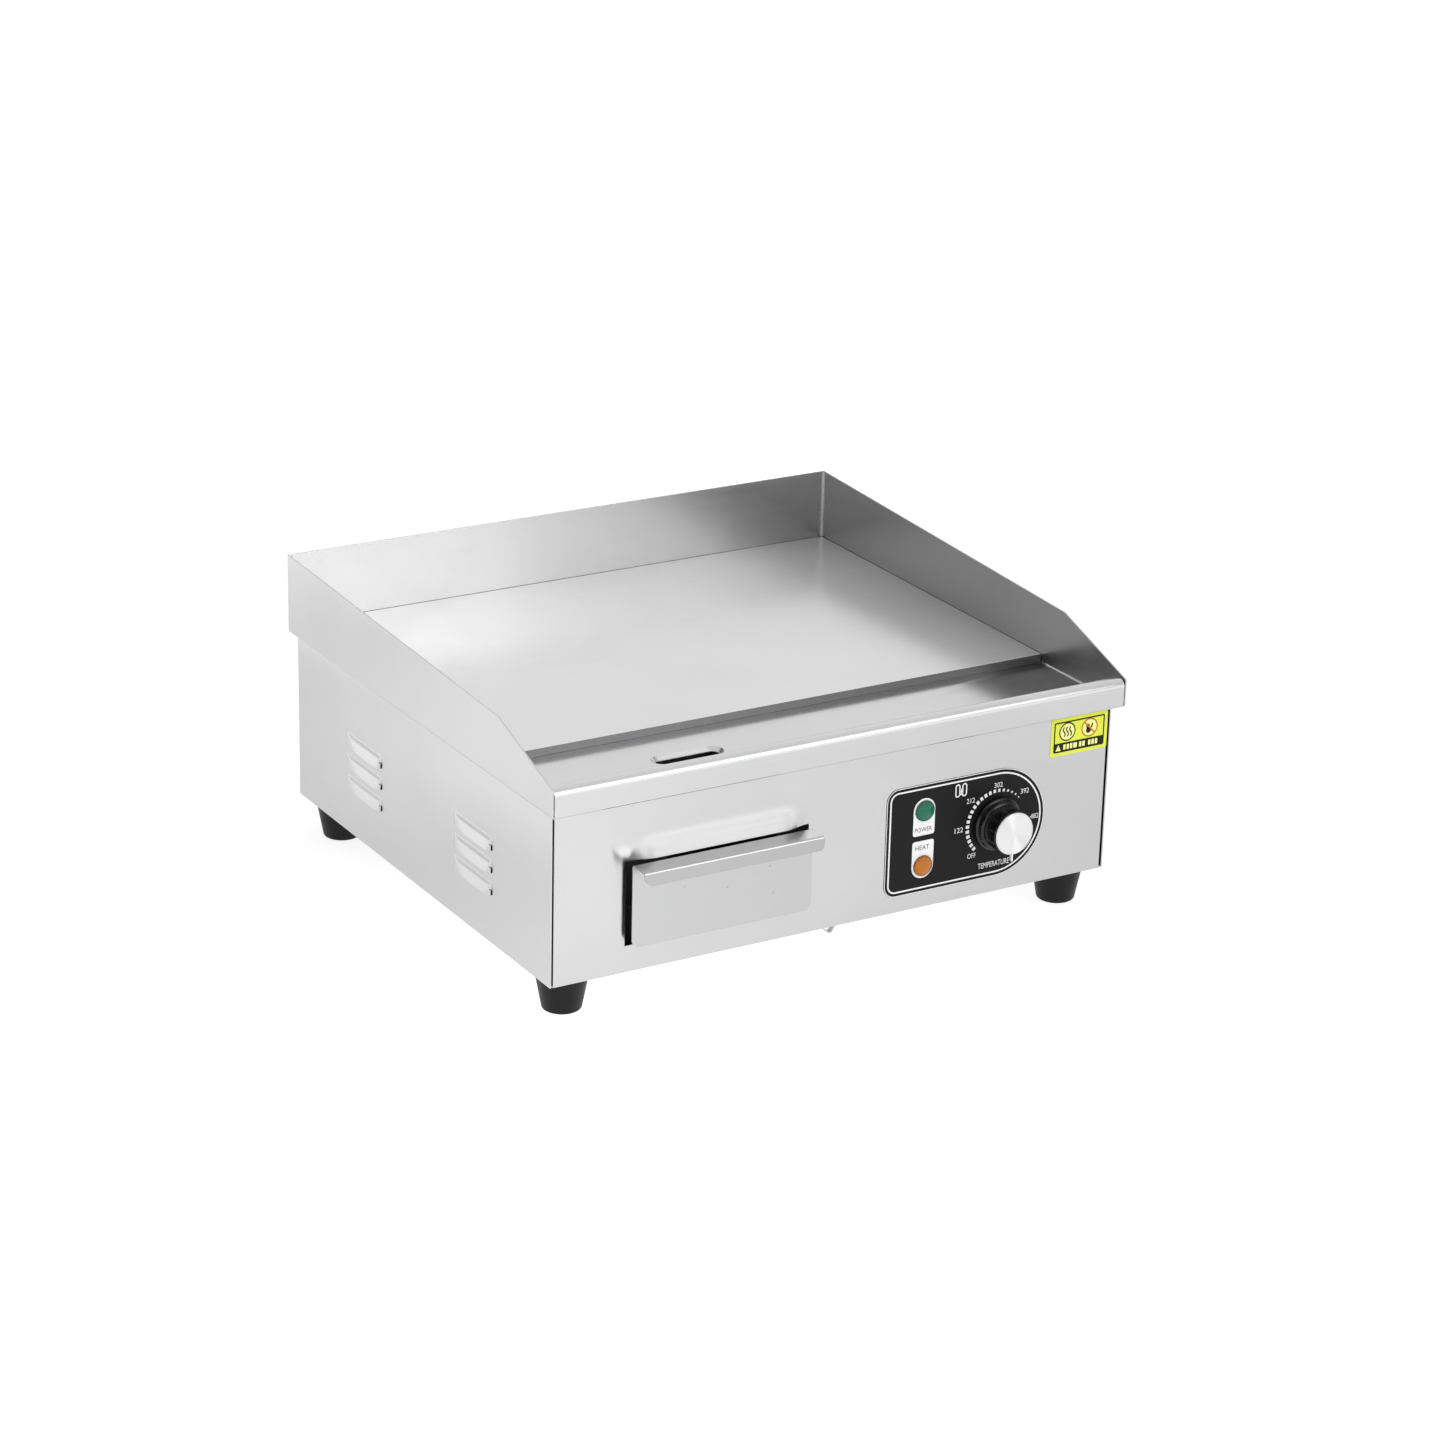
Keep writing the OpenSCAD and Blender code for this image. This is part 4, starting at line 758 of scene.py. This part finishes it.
keep(sticker.bm, "caution_print", "housing", [olive_ink, orange_ink, pale_ink])

# ---------------------------------------------------------------- stage and light
# The floor glows a little, more in two pools beside the object and further away, so that the steel
# has something pale and uneven to mirror. Positions are in metres of the row frame.
FLOOR_HALF, FLOOR_GAP, FLOOR_TONE = 30.0, 0.0005, (0.25, 0.25, 0.25, 1.0)
FLOOR_GLOW, FAR_GLOW, FAR_FROM, FAR_TO = 0.83, 1.5, 0.9, 1.35
FRONT_POOL, FRONT_POOL_FROM, FRONT_POOL_TO, FRONT_POOL_GLOW = (-0.3, -0.5, 0.0), 0.1, 0.75, 0.34
SIDE_POOL, SIDE_POOL_FROM, SIDE_POOL_TO, SIDE_POOL_GLOW = (-0.68, 0.3, 0.0), 0.1, 0.42, 0.3
HORIZON, REAR_RIGHT, REAR_LEFT, OVERHEAD, AMBIENT = 1.45, 1.35, 0.12, 1.25, 0.05
SOFTBOX_H, SOFTBOX_AIM = 0.9, Vector((0.0, 0.0, 0.1))
floor_mesh = bpy.data.meshes.new("floor")
floor_corners = [(x * FLOOR_HALF, y * FLOOR_HALF, 0) for x, y in ((-1, -1), (1, -1), (1, 1), (-1, 1))]
floor_mesh.from_pydata(floor_corners, [], [(0, 1, 2, 3)])
floor = bpy.data.objects.new("floor", floor_mesh)
scene.collection.objects.link(floor)
floor.location.z = -FLOOR_GAP
floor_material, g = material("floor")


def pool(g, centre, near, far, strength):
    """Extra glow that fades out round a point of the floor."""
    reach = g.vmath("LENGTH", g.vmath("SUBTRACT", g.place(), centre))
    return g.span(reach, near, far, strength, 0.0, True)


away = g.vmath("LENGTH", g.place())
diffuse = g.add("ShaderNodeBsdfDiffuse")
diffuse.inputs[0].default_value = FLOOR_TONE
glow = g.add("ShaderNodeEmission")
glow.inputs[0].default_value = (1.0, 1.0, 1.0, 1.0)
pools = g.math("ADD", pool(g, FRONT_POOL, FRONT_POOL_FROM, FRONT_POOL_TO, FRONT_POOL_GLOW),
               pool(g, SIDE_POOL, SIDE_POOL_FROM, SIDE_POOL_TO, SIDE_POOL_GLOW))
g.link(g.math("ADD", g.span(away, FAR_FROM, FAR_TO, FLOOR_GLOW, FAR_GLOW, True), pools), glow.inputs[1])
both = g.add("ShaderNodeAddShader")
g.link(diffuse.outputs[0], both.inputs[0])
g.link(glow.outputs[0], both.inputs[1])
g.link(both.outputs[0], g.add("ShaderNodeOutputMaterial").inputs[0])
floor_mesh.materials.append(floor_material)

world = bpy.data.worlds.new("studio")
scene.world = world
world.use_nodes = True
g = Graph(world.node_tree)
parts = g.add("ShaderNodeSeparateXYZ")
g.link(g.add("ShaderNodeTexCoord").outputs["Generated"], parts.inputs[0])
x, y, z = parts.outputs
horizon = g.span(z, 0.14, 0.30, HORIZON, 0.0, True)
rear = g.span(y, -0.35, 0.1, 0.0, 1.0, True)
rear_right = g.math("MULTIPLY", g.span(x, -0.1, 0.3, 0.0, REAR_RIGHT, True), rear)
rear_left = g.math("MULTIPLY", rear, REAR_LEFT)
overhead = g.span(z, 0.42, 0.66, 0.0, OVERHEAD, True)
light = g.math("MAXIMUM", g.math("MAXIMUM", horizon, rear_right), g.math("MAXIMUM", overhead, rear_left))
sky = g.add("ShaderNodeBackground")
g.link(g.math("ADD", light, AMBIENT), sky.inputs["Strength"])
g.link(sky.outputs[0], g.add("ShaderNodeOutputWorld").inputs[0])

for name, centre, width, energy in (("softbox", (0.86, -1.78, 1.1), 1.05, 6.2),
                                    ("fill_panel", (0.70, -1.88, 1.1), 0.70, 4.0)):
    lamp = bpy.data.lights.new(name, "AREA")
    lamp.shape = "RECTANGLE"
    lamp.size, lamp.size_y = width, SOFTBOX_H
    lamp.energy = energy
    stand = bpy.data.objects.new(name, lamp)
    scene.collection.objects.link(stand)
    stand.location = centre
    stand.visible_camera = False
    stand.rotation_mode = "QUATERNION"
    stand.rotation_quaternion = (SOFTBOX_AIM - stand.location).to_track_quat("-Z", "Y")
